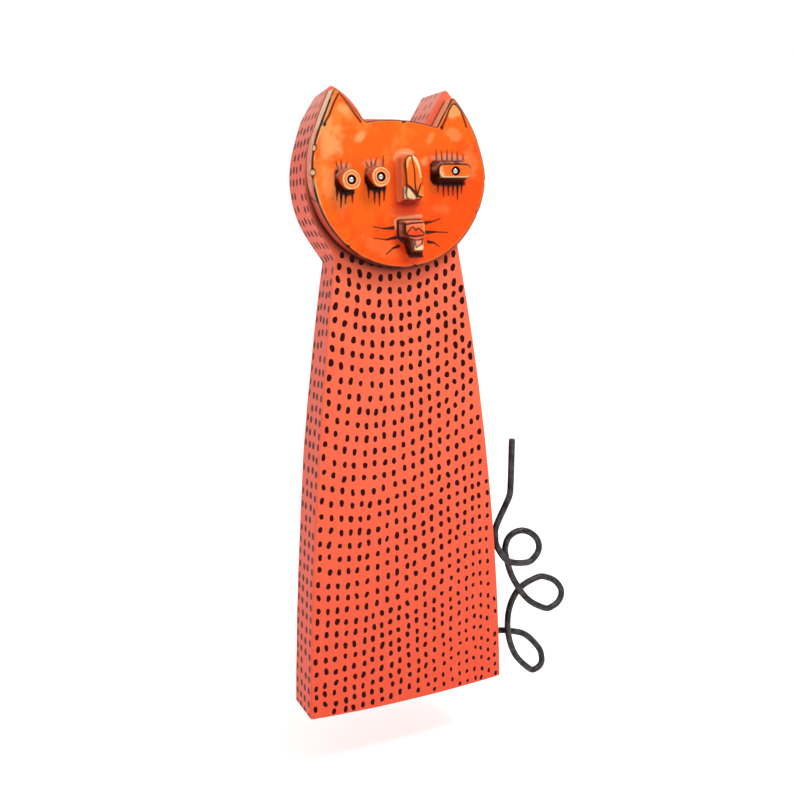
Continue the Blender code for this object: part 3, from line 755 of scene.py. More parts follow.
# %% Lines cut in the clay
# Each lash runs from the lid outwards: where it starts, where it ends.
lashes_over = [((-52.9, 1.9), (-54.3, 6.1)), ((-50.3, 1.9), (-50.4, 7.5)), ((-46.7, 2.6), (-45.8, 5.8)),
               ((-29.4, 2.8), (-30.9, 6.7)), ((-26.6, 3.5), (-26.8, 8.5)), ((-23.8, 4.6), (-22.4, 9.2)),
               ((-17.4, 3.9), (-16.8, 11.1)), ((26.8, 8.7), (26.5, 15.7)), ((31.4, 8.8), (31.1, 15)),
               ((35.7, 8.8), (35.8, 15.8)), ((40, 8.9), (40.1, 14.4)), ((44.7, 8.9), (44.3, 14.5)),
               ((49.4, 9), (49.5, 12.3))]
lashes_under = [((-53.8, -13.7), (-54.5, -20.8)), ((-50.8, -15.8), (-51.6, -26.5)),
                ((-47.3, -15.8), (-48, -23.7)), ((-42.2, -14.4), (-42.5, -22.6)),
                ((-29.5, -12.3), (-29.3, -19.5)), ((-24.7, -13.7), (-24.8, -23.1)),
                ((-20.7, -12.3), (-21.1, -25)), ((-16.6, -11.6), (-17.3, -21.7)),
                ((27.7, -8), (27.6, -15.3)), ((32.4, -8), (32.2, -18.3)), ((36.2, -8), (36.5, -17.9)),
                ((40.5, -8), (40.4, -17.9)), ((44.4, -8), (44.2, -21.3)), ((48.3, -8), (47.7, -16.1))]
whiskers = [((-10.3, -41.5), (-18, -41.9), (-26.5, -40.3)), ((-8.8, -48.6), (-16, -50), (-26.2, -48.7)),
            ((-6.3, -54.9), (-11, -56.4), (-16.8, -60.9)), ((16.6, -38.1), (22, -37.4), (29.2, -35.2)),
            ((17.4, -45.2), (25, -45.1), (35.3, -45.7)), ((18.7, -52.4), (23.5, -53.2), (28.1, -56.3))]
ear_lines = [((-50.6, 53.8), (-54.1, 47.7), (-58.2, 38.7), (-62.5, 32.2)),
             ((-49.9, 54.0), (-44.7, 48.1), (-39.5, 41.3), (-34.1, 34.7)),
             ((31.5, 31.8), (35.5, 39.2), (38.2, 45.4), (40.6, 49.0), (42.9, 49.9), (45.1, 48.5),
              (48.0, 45.2), (50.0, 40.7), (52.8, 32.9))]
chip_places = [(0.4, 36.6), (-27.6, 36.8)]
chip_angles = (167, 181, 230, 277, 334, 354)
chip_radius, chip_bite = 3.2, 1.4


def chips():
    """Where the rim is chipped: marked places on top, and angles about the disc elsewhere."""
    turns = np.radians(chip_angles)
    rim = np.stack([disc_middle[0] + disc_radius * np.cos(turns), disc_radius * np.sin(turns)], 1)
    return [*chip_places, *rim.tolist()]


def net_over(outline):
    """Points over the face: 0.9 apart, 0.32 near cut lines, 0.45 in a band along the rim."""
    from_edge = edge_distance(outline)
    nets = []
    for step, wanted in ((0.9, "wide"), (0.45, "rim"), (0.32, "lines")):
        x, z = np.meshgrid(np.arange(-78, 74, step), np.arange(-73, 60, step * 0.87))
        x[::2] += step / 2
        x, z = x.ravel(), z.ravel()
        near = np.full(x.shape, 1e9)
        for route in (*lashes_over, *lashes_under, *whiskers, *ear_lines):
            near = np.minimum(near, off_line(x, z, route)[0])
        rim = from_edge(x, z)
        chosen = {"wide": (rim > 3.2) & (near > 1.5), "rim": (rim > 0.35) & (rim < 3.2) & (near > 1.2),
                  "lines": (rim > 0.5) & (near < 1.3)}[wanted]
        nets.append(np.stack([x[chosen], z[chosen]], 1))
    return np.vstack(nets)


def edge_distance(outline):
    """A function that says how far inside the outline a point is, and less than 0 outside it."""
    along = np.roll(outline, -1, 0) - np.roll(outline, 1, 0)
    outward = np.stack([along[:, 1], -along[:, 0]], 1) / np.hypot(*along.T)[:, None]

    def inside_by(x, z):
        distance = np.full(x.shape, 1e9)
        for part in np.array_split(np.arange(len(x)), max(1, len(x) // 2000)):
            away = np.stack([x[part], z[part]], 1)[:, None] - outline[None, ::2]
            reach = np.hypot(away[..., 0], away[..., 1])
            best = reach.argmin(1)
            side = (away[np.arange(len(part)), best] * outward[::2][best]).sum(1)
            distance[part] = np.where(side < 0, reach[np.arange(len(part)), best], -1)
        return distance
    return inside_by


# %% Glaze colours
orange, deep_orange, flame = paint(255, 105, 26), paint(255, 85, 8), paint(248, 76, 34)
amber, peach, cream = paint(255, 146, 62), paint(255, 172, 104), paint(255, 214, 160)
# The near-black colour is the black glaze of the lines and rim, and also painted shade under and beside
# the features, in the holes and along the slab's back.
black_and_shade, umber, oxblood = paint(40, 18, 12), paint(96, 34, 20), paint(150, 26, 8)
smoke = paint(150, 112, 100)


def glaze_ground(x, z, seed=0):
    """Orange that is yellower at the upper left and redder at the lower right, in soft patches."""
    slow, middle, fine = (cloud(x, z, size, seed + k) for k, size in ((31, 17), (32, 7), (33, 3)))
    mixed = 0.5 * slow + 0.32 * middle + 0.18 * fine
    tilt = (z - 0.5 * x) / 110
    colour = lay(np.broadcast_to(orange, (*x.shape, 3)), deep_orange, ramp(mixed - tilt, 0.42, 0.85))
    return lay(colour, amber, 0.6 * ramp(mixed + 0.5 * tilt + 0.12 * ramp(-x, 35, 65), 0.62, 0.95))


def face_colour(x, z, rim):
    """The ground, pale patches, a painted highlight over the nose, painted shadows round each feature,
    the cut lines and the rim.
    """
    colour = glaze_ground(x, z)
    for middle, radii, turn, share in (
            ((-58, 17.5), (10, 7.6), 40, 0.75), ((-47, 42.5), (6, 3.4), -30, 0.7),
            ((-34, 24.5), (4.6, 2.6), 35, 0.8), ((-62, 31), (7, 4.5), 60, 0.5),
            ((-52, 29), (5, 3), 10, 0.45), ((-60, -9), (6, 11), 5, 0.4), ((-50, -22), (5, 6), 0, 0.3),
            ((17, 7), (3.2, 3.4), 0, 0.65), ((41, 44.5), (6.5, 5), 20, 0.85),
            ((42, 27), (6, 4), -20, 0.4), ((30, -28), (7, 3.5), 0, 0.14),
            ((-20, -55), (14, 6), -25, 0.16), ((22, 24), (2.2, 5), -30, 0.4),
            ((-2, -31), (9, 3.5), 0, 0.15), ((54, 5), (7, 12), 0, 0.25)):
        colour = lay(colour, peach, share * blot(x, z, middle, radii, turn, 0.45, 0.5, 5))
    for middle, radii in (((-48.5, 3.5), (5, 2.2)), ((-26, 5.5), (6.5, 2.8)), ((36, 10.2), (14, 2.4))):
        colour = lay(colour, paint(255, 168, 128), 0.6 * blot(x, z, middle, radii, 0, 0.5, 0.3, 9))
    # A painted highlight: a pale arc over the top of the nose.
    brow_highlight = ((-7.6, 8.5), (-6.2, 12.6), (-1.6, 15.0), (3.4, 15.2), (7.4, 13.4))
    colour = layered(colour,
        (paint(255, 166, 108), 0.85 * mark(x, z, brow_highlight, 2.6, 1.6, 1.0)),
        # Painted shadow: redder and darker glaze under the nose and under the mouth, and a red band down
        # the left of the nose.
        (flame, 0.85 * blot(x, z, (2, -26), (13, 6), 0, 0.7, 0.2, 3)),
        (flame, 0.8 * blot(x, z, (3, -66), (12, 3.6), 0, 0.6, 0.2, 3)),
        (flame, 0.55 * mark(x, z, ((-9.5, 6), (-10, -18)), 3.0, 4.0, 3.0)),
        (oxblood, 0.85 * blot(x, z, (2.5, -23.2), (9.5, 3.2), 0, 0.6, 0.2, 4)))
    # Black under and to the left of each eye: black glaze, deepened as painted shadow.
    for route, width in ((((-53.6, -1), (-54.0, -10), (-51, -14.5), (-46, -16.2), (-42.4, -15)), 3.4),
                         (((-30.0, 0), (-30.4, -8), (-28, -12.2), (-23, -13.8), (-17.4, -12.4)), 3.2),
                         (((22.6, 5), (22.4, -6), (24.5, -9), (38, -9.8), (50, -9)), 2.4)):
        colour = lay(colour, black_and_shade, 0.96 * mark(x, z, route, width, width, 1.0))
    under_mouth = ((-6.8, -36), (-6.8, -49), (-1.0, -53.5), (0.8, -60.0), (3.2, -63.4), (13.4, -63.4))
    left_of_mouth = ((-8.5, -50), (-2.5, -58), (1, -65))
    colour = lay(colour, paint(236, 56, 18), 0.75 * mark(x, z, left_of_mouth, 2.6, 3.4, 2.4))
    over_mouth = ((-8.6, -42), (-8.4, -36.0), (-5.5, -34.4), (12.6, -33.0))
    colour = layered(colour,
        (paint(255, 166, 120), 0.85 * mark(x, z, over_mouth, 1.4, 2.2, 0.8)),
        (black_and_shade, 0.96 * mark(x, z, under_mouth, 1.2, 1.4, 0.5)))
    for route in lashes_under:
        (x0, z0), (x1, z1) = route
        distance, along = off_line(x, z, ((x0, z0 + 2), (x1, z1)))
        tone = lay(np.broadcast_to(black_and_shade, colour.shape), paint(136, 24, 8), ramp(along, 0.35, 0.9))
        half = 1.3 - 0.95 * along
        share = (1 - ramp(distance, half - 0.3, half + 0.45))[:, None]
        colour = colour * (1 - share) + tone * share
    for route in lashes_over:
        colour = lay(colour, paint(104, 34, 22), 0.9 * mark(x, z, route, 1.6, 0.4, 0.4))
        first_quarter = (route[0], route[0] + 0.25 * np.subtract(*route[::-1]))
        colour = lay(colour, smoke, 0.6 * mark(x, z, first_quarter, 1.6, 1.0, 0.5))
    for route in whiskers:
        colour = lay(colour, umber, 0.95 * mark(x, z, route, 1.3, 0.7, 0.35))
        colour = lay(colour, black_and_shade, 0.97 * mark(x, z, route[:2], 2.3, 1.2, 0.35))
    for route, tone, first, last in zip(ear_lines, (umber, paint(140, 34, 12), umber), (1.1, 1.0, 1.5),
                                        (1.5, 1.7, 1.1)):
        colour = lay(colour, tone, 0.95 * mark(x, z, route, first, last, 0.45))
    colour = layered(colour,
        (black_and_shade, blot(x, z, (-62.2, 32.6), (1.5, 1.7), 0, 0.3, 0.1, 2)),
        (black_and_shade, blot(x, z, (31.7, 32.2), (1.2, 1.5), 0, 0.3, 0.1, 2)))
    broken = cloud(x, z, 4.5, 41)
    pale_side = ramp(-x, 45, 66) * ramp(z, -45, -15)
    colour = layered(colour,
        (peach, (1 - ramp(rim, 0.8, 2.4)) * (0.25 + 0.6 * broken) * (0.7 + 0.3 * pale_side)),
        (cream, (1 - ramp(rim, 0.9, 3.0)) * pale_side * ramp(broken, 0.2, 0.6)))
    line = 1 - ramp(rim, 0.75 + 0.35 * pale_side, 1.35 + 0.5 * broken + 0.3 * pale_side)
    return lay(colour, black_and_shade, line * (0.72 + 0.26 * ramp(cloud(x, z, 9, 43), 0.2, 0.5)))


def chipped_colour(colour, points):
    """A chip shows pale clay inside a black line on the left, and a ragged dark stain elsewhere."""
    for place in chips():
        near = np.hypot(points[:, 0] - place[0], points[:, 2] - place[1])
        near = np.hypot(near, 0.8 * (points[:, 1] - clay_front))
        near = near + 1.2 * (cloud(points[:, 0] + points[:, 1], points[:, 2], 1.8, 47) - 0.5)
        lit = place[0] < -60
        colour = lay(colour, cream if lit else black_and_shade, 0.85 * (1 - ramp(near, 1.4, 2.2)))
        colour = lay(colour, black_and_shade, 0.9 * lit * np.exp(-((near - 2.6) / 0.6) ** 2))
    return colour


def side_colour(x, z, depth):
    """The slab's edge: coral, pale by the left ear, darker lower down as painted shade, dark along both
    borders (along the back as painted shadow) and in a few cracks.
    """
    colour = np.broadcast_to(paint(255, 138, 104), (*x.shape, 3))
    broken = cloud(x + depth * 2, z + depth, 6, 51)
    colour = layered(colour,
        (paint(255, 206, 166), ramp(z + 20 * broken, 30, 55) * ramp(-x, -50, 0)),
        # Painted shade: darker red lower down the edge, and umber at the bottom.
        (paint(216, 78, 58), ramp(-z, -2, 26)),
        (umber, 0.85 * ramp(-z, 46, 66)),
        (cream, 0.4 * ramp(broken, 0.66, 0.8) * ramp(z, -30, 0)),
        # Painted shadow: black along the back border where the slab meets the board, wider towards the
        # bottom.
        (black_and_shade, 0.92 * (1 - ramp(depth, 1.3, 2.6 + 2.0 * ramp(-z, 20, 60)))))
    for at in ((-68.7, 17), (-72.1, -1.8), (-70, -20), (-58, 41), (66, -20)):
        near = np.hypot(x - at[0], z - at[1] + 0.4 * (depth - 6))
        colour = lay(colour, black_and_shade, 0.85 * (1 - ramp(near, 0.5, 1.2)))
    at_back = 1 - ramp(slab_thickness - depth, 1.2, 2.2)
    return lay(colour, black_and_shade, 0.7 * at_back * ramp(broken, 0.2, 0.5))


# %% Glaze
def orange_glaze():
    """Glossy glaze: the painted colour, small blotches of light and dark in it, and a soft ripple."""
    material, tree, shader = finish_tree("orange glaze", 0.35, Specular_IOR_Level=0.08,
                                         Coat_Weight=0.06, Coat_Roughness=0.15)
    painted = kept(tree, "glaze", "Color")
    specks = between(tree, noise(tree, place_of(tree), 2.4, 4.0), 0.60, 0.78, 0, 0.22)
    colour = blend(tree, specks, painted, blend(tree, 0.5, painted, paint(255, 178, 104)))
    dull = between(tree, noise(tree, place_of(tree), 5.0, 3.0), 0.56, 0.74, 0, 0.16)
    tree.links.new(blend(tree, dull, colour, paint(190, 52, 14)), shader.inputs["Base Color"])
    pebbles = sums(tree, "ADD", noise(tree, place_of(tree), 7.0, 2.0),
                   sums(tree, "MULTIPLY", noise(tree, place_of(tree), 1.0, 2.0), 0.18))
    rippled(tree, shader, pebbles, 0.35)
    return material


glaze = orange_glaze()


# %% The slab's surface
def pressed(points, from_face):
    """Lines sink as soft furrows, and what a chip's ball would hold is pushed out to its skin."""
    x, z = points[:, 0], points[:, 2]
    depth = np.zeros(len(points))
    for routes, width, sink in ((lashes_over, 0.55, 0.22), (lashes_under, 0.6, 0.3),
                                (whiskers, 0.55, 0.3), (ear_lines, 0.65, 0.5)):
        for route in routes:
            depth = np.maximum(depth, sink * np.exp(-(off_line(x, z, route)[0] / width) ** 2))
    depth += 0.14 * cloud(x, z, 9, 21) + 0.05 * cloud(x, z, 3, 22)
    points[:, 1] += np.where(from_face < 0.4, depth, 0)
    for place in chips():
        outward = np.array(place) / np.hypot(*place) * (chip_radius - chip_bite) * 0.7
        ball = np.array([place[0] + outward[0], clay_front - 0.7 * (chip_radius - chip_bite),
                         place[1] + outward[1]])
        away = points - ball
        reach = np.linalg.norm(away, axis=1, keepdims=True)
        points = np.where(reach < chip_radius, ball + away / reach * chip_radius, points)
    return points


def slab_shell():
    """Rings round the outline from back to front, a filled back, and the net over the front."""
    quarter = np.linspace(0, math.pi / 2, 6)
    eased = slab_edge * (1 - np.cos(quarter))
    front = np.stack([eased, clay_front + slab_edge * (1 - np.sin(quarter))], 1)
    side = np.stack([np.zeros(13), np.linspace(clay_back, clay_front + slab_edge, 14)[:-1]], 1)
    back = np.array([[0.4, clay_back]])
    profile = np.vstack([back, side, front])
    walked = np.arange(len(clay)) * clay_spacing
    rings = []
    for depth_in, y in profile:
        wave = 0.12 + 0.07 * np.sin(walked / 13 + y / 4) + 0.05 * np.sin(walked / 4.1 - y / 3)
        ring = inset(clay, depth_in + wave)
        rings.append(np.stack([ring[:, 0], np.full(len(ring), y), ring[:, 1]], 1))
    rings = np.array(rings)
    rows, columns = rings.shape[:2]
    faces = grid_faces(rows, columns)
    points = [rings.reshape(-1, 3)]
    start = rows * columns
    for ring, loose in ((rings[0], None), (rings[-1], net_over(rings[-1][:, [0, 2]]))):
        corners, triangles, _ = filled(ring[:, [0, 2]], (), loose)
        points.append(np.stack([corners[:, 0], np.full(len(corners), ring[0, 1]), corners[:, 1]], 1))
        faces += [[start + k for k in triangle] for triangle in triangles]
        start += len(corners)
    points = np.vstack(points)
    x, z = points[:, 0], points[:, 2]
    from_face = points[:, 1] - clay_front
    inside = np.maximum(edge_distance(clay)(x, z), 0)
    painted = face_colour(x, z, inside)
    sides = side_colour(x, z, points[:, 1] * -1 + clay_back)
    share = ramp(from_face, 0.7, 1.5)[:, None]
    colour = chipped_colour(painted * (1 - share) + sides * share, points)
    return shell("face_slab", pressed(points, from_face), faces, [glaze], "ceramic_face",
                 {"glaze": colour}, crease=60)


slab_shell()

# %% [markdown]
# ## Round eyes
# Each round eye is a short tube of clay with a flared foot, a rolled lip and a ring pressed in its
# top. Turned work is a profile swept about an axis, so the profile is a smooth curve through a few
# marked points, and the sweep is the second parameter of the grid.

# %% Turned tubes
hole_radius, hole_depth = 3.2, 5.3
outer_eye, inner_eye = (-47.2, -7.0), (-24.1, -4.9)


def through(corners, per_step):
    """A smooth curve through marked points: cubics whose slopes come from the neighbouring points."""
    corners = np.array(corners, float)
    ends = np.vstack([2 * corners[0] - corners[1], corners, 2 * corners[-1] - corners[-2]])
    t = (np.arange(per_step) / per_step)[None, :, None]
    a, b, c, d = (ends[k:len(ends) - 3 + k, None] for k in range(4))
    curve = 0.5 * (2 * b + (c - a) * t + (2 * a - 5 * b + 4 * c - d) * t ** 2
                   + (3 * b - a - 3 * c + d) * t ** 3)
    return np.vstack([curve.reshape(-1, corners.shape[1]), corners[-1:]])


def tube_eye(name, middle):
    """Radius and height along the profile, turned about an axis square to the face."""
    outside = through([(8.5, -1), (8.5, 0.2), (8.2, 1.2), (7.7, 3), (7.2, 6.5), (7.05, 9.5), (6.98, 11),
                       (6.75, 11.7), (6.2, 12), (5.75, 11.85), (5.4, 11.5), (5.0, 11.5), (4.7, 11.85),
                       (4.1, 11.95), (3.45, 11.6), (3.2, 11), (3.2, 9), (3.15, 7.2), (2.9, 6.7)], 4)
    profile = np.vstack([outside, (0.2, 6.7)])
    profile = np.vstack([(0.2, -1), profile])
    turns = np.linspace(0, 2 * math.pi, 97)[:-1]
    radius, height = profile[:, 0][:, None], profile[:, 1][:, None]
    lump = 1 + 0.012 * np.sin(3 * turns + middle[0]) * (radius > 4) + 0.008 * np.sin(5 * turns)
    x = middle[0] + radius * lump * np.cos(turns)
    z = middle[1] + radius * lump * np.sin(turns)
    y = clay_front - height - 0.1 * np.sin(2 * turns + 1) * ramp(height, 8, 11)
    points = np.stack([x, y, z], -1).reshape(-1, 3)
    rows, columns = len(profile), len(turns)
    faces = grid_faces(rows, columns) + poles(rows, columns)
    flat = np.broadcast_to(height, x.shape).ravel()
    reach = np.broadcast_to(radius, x.shape).ravel()
    inner = np.broadcast_to(np.arange(rows)[:, None] > rows * 0.6, x.shape).ravel()
    x, z, turned = x.ravel(), z.ravel(), np.broadcast_to(turns, (rows, columns)).ravel()
    colour = lay(glaze_ground(x, z, 3), flame, 0.75)
    # Painted shade: the side turns umber and then black towards the lower left and towards the foot.
    low = np.cos(turned - math.radians(245))
    dark = ramp(low * 1.1 + (7.5 - flat) / 6, 0.35, 1.35)
    colour = layered(colour,
        (umber, 0.8 * dark),
        (black_and_shade, ramp(dark, 0.35, 0.95)))
    crust = lay(np.broadcast_to(paint(112, 72, 62), colour.shape), paint(196, 140, 122),
                cloud(x, z, 1.4, 62))
    colour = lay(colour, crust, 0.9 * ramp(np.cos(turned - math.radians(110)), 0.3, 0.8)
                 * (1 - ramp(flat, 3.5, 7.5)))
    top = ramp(flat, 10.6, 11.5) * (reach > 3.7)
    colour = lay(colour, peach, top)
    grain = cloud(x, z, 1.6, 61)
    groove = np.exp(-((reach - 5.2) / 0.5) ** 2) * top
    colour = layered(colour,
        (paint(238, 112, 40), groove * (0.45 + 0.5 * grain)),
        (cream, np.exp(-((reach - 6.5) / 0.45) ** 2) * top * ramp(grain, 0.3, 0.7)),
        # Painted shade: black down inside the hole.
        (black_and_shade, ramp(3.4 - reach, 0, 0.2) * inner))
    return shell(name, points, faces, [glaze], "ceramic_face", {"glaze": colour},
                 crease=50)


tube_eye("eye_outer_tube", outer_eye)
tube_eye("eye_inner_tube", inner_eye)

# %% [markdown]
# ## Long eye, nose and mouth
# These were built up from pads of clay and cut with a knife. Each is a stack of closed loops with
# the same number of points, from a wide foot on the slab, up its walls, over a softened edge and
# across its front, which is again a grid: how far round, and how far in.

# %% Stacked loops
def loop_of(corners, per_side, softening=2):
    """Corners joined by straight sides, then each point averaged with its neighbours a few times."""
    corners = np.array(corners, float)
    t = (np.arange(per_side) / per_side)[None, :, None]
    points = (corners[:, None] * (1 - t) + np.roll(corners, -1, 0)[:, None] * t).reshape(-1, 2)
    for _ in range(softening):
        points = 0.5 * points + 0.25 * (np.roll(points, 1, 0) + np.roll(points, -1, 0))
    return points


def stack(name, loops, heights, colour_of, crease=50):
    """Loops of (x, z) with a height off the face for each point, closed by a face at either end."""
    loops = np.array(loops)
    rows, columns = loops.shape[:2]
    heights = np.array([np.broadcast_to(h, columns) for h in heights])
    x, z = loops[..., 0].ravel(), loops[..., 1].ravel()
    height = heights.ravel()
    row = np.repeat(np.arange(rows), columns)
    lump = 0.12 * cloud(x, z, 3, 71) * ramp(height, 3, 8)
    points = np.stack([x, clay_front - height + lump, z], 1)
    faces = grid_faces(rows, columns) + poles(rows, columns)
    colour = colour_of(x, z, height, row / (rows - 1))
    return shell(name, points, faces, [glaze], "ceramic_face", {"glaze": colour},
                 crease=crease)


def oblong(middle, size, corner, count=120):
    """A rectangle with quarter rounds, evenly spaced from its right side anticlockwise."""
    points = []
    for turn, (side, level) in enumerate(((1, 1), (-1, 1), (-1, -1), (1, -1))):
        centre = (middle[0] + side * (size[0] / 2 - corner), middle[1] + level * (size[1] / 2 - corner))
        points.append(arc(centre, corner, math.pi / 2 * turn, math.pi / 2 * (turn + 1)))
    points = even(points, 0.2)
    return points[np.linspace(0, len(points), count, endpoint=False).astype(int)]


# %% The long eye
long_eye, long_eye_face, long_eye_ball = (36.4, -0.6), (37.3, -0.3), (38.0, -0.3)
long_eye_height = 10.0


def long_eye_colour(x, z, height, share):
    """Grey-pink over the top and left slopes, black glaze and painted shade below, black as painted
    shade in the hole, and an orange front with a cream border.
    """
    colour = lay(glaze_ground(x, z, 5), flame, 0.4)
    slope = 1 - ramp(height, 8.8, 9.6)
    grain = cloud(x, z, 2, 63)
    over = ramp(z - long_eye[1], 2, 6) + ramp(24.5 - x, 0, 2)
    colour = layered(colour,
        (lay(np.broadcast_to(paint(84, 56, 54), colour.shape), paint(206, 150, 136),
             ramp(grain, 0.35, 0.8)),
         slope * np.clip(over, 0, 1) * 0.95),
        (black_and_shade, 0.9 * slope * (1 - ramp(height, 0.8, 2.0))),
        (black_and_shade, 0.9 * slope * ramp(height, 7.4, 8.2) * ramp(24.5 - x, 0, 2)),
        # Painted shade over black glaze: the lower walls are black, more so towards the left.
        (black_and_shade, slope * ramp(-(z - long_eye[1]) + 0.15 * (36 - x), 0.5, 4.5)),
        (umber, 0.9 * slope * mark(x, z, ((22.5, 7.0), (49, 7.3)), 0.9, 0.7, 0.4)))
    front = ramp(height, 8.8, 9.6)
    side, level = x - long_eye_face[0], z - long_eye_face[1]
    colour = layered(colour,
        (paint(255, 112, 36), front),
        (cream, front * (1 - ramp(x + 0.3 * level + 2 * grain, 24.0, 30.0)) * 0.95))
    border = np.hypot(np.maximum(np.abs(side) - 9.8, 0), np.maximum(np.abs(level) - 1.1, 0)) - 4.2
    colour = lay(colour, cream, front * ramp(border, -1.6, -0.9) * (level < 2) * 0.85)
    upper_left = np.clip((level > 2) + ramp(-side, 11, 13), 0, 1)
    colour = layered(colour,
        (black_and_shade, front * ramp(border, -1.2, -0.7) * upper_left),
        (black_and_shade, front * ramp(border, -0.8, -0.3) * (1 - upper_left)))
    ball = np.hypot(x - long_eye_ball[0], z - long_eye_ball[1])
    # Painted shade: black in the hole and at its edge.
    return lay(colour, black_and_shade, 1 - ramp(ball, 3.2, 3.7))


def long_eye_shell():
    """Loops go from the foot up leaning walls, over a softened lip, in across the front and down."""
    foot, face = oblong(long_eye, (29.5, 17.6), 4.2), oblong(long_eye_face, (28, 10.6), 4.2)
    brow = foot * 0.2 + face * 0.8
    lip = oblong(long_eye_face, (27, 9.6), 3.8)
    away = lip - np.array(long_eye_ball)
    ring = np.array(long_eye_ball) + away / np.hypot(*away.T)[:, None] * hole_radius
    wall = [foot + (brow - foot) * t for t in np.linspace(0, 1, 8)]
    front = [lip + (ring - lip) * t for t in np.linspace(0, 1, 10)]
    bottom = ring * 0.05 + np.array(long_eye_ball) * 0.95
    loops = [foot, *wall, face, lip, *front[1:], ring, ring, bottom]
    heights = [-1.0, *np.linspace(0.2, 0.78 * long_eye_height, 8), 9.55, 9.98,
               *[9.8] * 8, 9.65, 8.5, long_eye_height - hole_depth, long_eye_height - hole_depth]
    return stack("eye_long_block", loops, heights, long_eye_colour)


long_eye_shell()

# %% The nose
nose_height, nose_ridge, nostril_fall = 11.5, 1.0, 2.4
nose_face = [(-1.8, 10.8), (-4.7, 8.6), (-4.7, -11.5), (-4.8, -20.6), (2.6, -21.6), (5.2, -20.6),
             (11.0, -19.8), (9.4, -8.5), (7.6, 3.6), (4.2, 10.7)]
nose_foot = [(-3.5, 14.2), (-7.4, 8.5), (-7.0, -10.5), (-6.6, -22.2), (2.8, -23.4), (6.4, -22.4),
             (13.2, -21.4), (12.0, -8.5), (10.4, 4.5), (6.5, 14.2)]
nose_spine = ((0.8, 9.5), (3.6, -17.0))
nose_left_line = ((0.4, 10.4), (-2.0, 9.9), (-3.9, 8.0), (-4.4, 4), (-4.0, -4), (-3.7, -10.7),
                  (-4.0, -16), (-3.0, -20.0), (-1, -21.0), (2.6, -21.5))
nose_middle_line = ((0.7, 10.3), (1.5, 5), (2.5, 0), (2.7, -5), (2.7, -10), (3.2, -14), (4.2, -18))
nose_right_line = ((2.6, 10.6), (4.6, 9.6), (6.4, 6.5), (8.2, 1.5), (8.9, -3), (9.4, -9.0))
nostril_lines = (((-4.0, -10.6), (-1.0, -12.8), (3.6, -17.4)),
                 ((9.6, -9.2), (7.4, -10.7), (5.4, -15), (4.9, -19)))


def nose_colour(x, z, height, share):
    """Two long panels, cream where the light catches them, over a cream and an orange nostril."""
    colour = lay(glaze_ground(x, z, 7), flame, 0.55)
    left_wall = (1 - ramp(height, 8.3, 9.2)) * ramp(-x, 1, 4)
    # Painted light and shade on the walls: the left wall paler and pinker than the front as painted
    # light, the top walls pale as a painted highlight, the bottom wall dark red as painted shade.
    colour = layered(colour,
        (paint(255, 124, 76), left_wall),
        (paint(255, 164, 118), (1 - ramp(height, 9.5, 10.5)) * ramp(z, 9.5, 12) * 0.9),
        (oxblood, 0.8 * (1 - ramp(height, 8, 9)) * ramp(-z, 19.5, 21.2) * ramp(x, -6, -2)))
    front = ramp(height, 8.3, 9.0)
    colour = lay(colour, paint(255, 112, 34), front)
    left_cream = ((-1.0, 9.2), (-2.6, 7), (-3.5, 2))
    right_cream = ((2.8, 9.4), (5.0, 6), (7.0, 1), (7.8, -5))
    colour = layered(colour,
        (paint(255, 196, 128), 0.9 * front * mark(x, z, left_cream, 2.0, 0.6, 0.9)),
        (cream, 0.9 * front * mark(x, z, right_cream, 3.2, 0.8, 0.9)))
    nostril = ramp(off_line(x, z, nostril_lines[0])[0], 0.5, 1.0)
    nostril = nostril * ramp(-z - 0.9 * (x + 3.8), 10.5, 11.5)
    colour = layered(colour,
        (cream, front * nostril * ramp(-z, 11.5, 12.5) * ramp(4.0 - x, 0, 0.8)),
        (peach, front * ramp(x, 5.2, 6) * ramp(-z, 11, 13) * 0.9),
        (paint(255, 122, 40), front * blot(x, z, (8.2, -15.3), (1.7, 3.6), 8, 0.25, 0.1, 4)))
    dark = mark(x, z, nose_left_line, 0.7, 1.0, 0.4)
    dark = np.maximum(dark, mark(x, z, nose_left_line[2:7], 0.9, 1.3, 0.4))
    dark = np.maximum(dark, mark(x, z, nose_middle_line, 0.6, 1.3, 0.4))
    dark = np.maximum(dark, mark(x, z, nose_right_line, 0.7, 0.9, 0.4))
    dark = np.maximum(dark, mark(x, z, nostril_lines[0], 1.6, 2.4, 0.4))
    dark = np.maximum(dark, mark(x, z, nostril_lines[1], 0.9, 1.7, 0.4))
    dark = np.maximum(dark, mark(x, z, ((4.0, -18.5), (11.2, -20.0)), 1.6, 0.9, 0.4))
    return layered(colour,
        (black_and_shade, 0.95 * dark * front),
        # The peach band high on the left wall is a painted highlight.
        (peach, 0.85 * (1 - front) * ramp(height, 6.8, 8.0) * ramp(-x, 4.4, 5.0)),
        (black_and_shade, 0.85 * (1 - front) * ramp(height, 6, 8) * ramp(-z, 11, 14) * ramp(-x, 4.2, 5.0)))


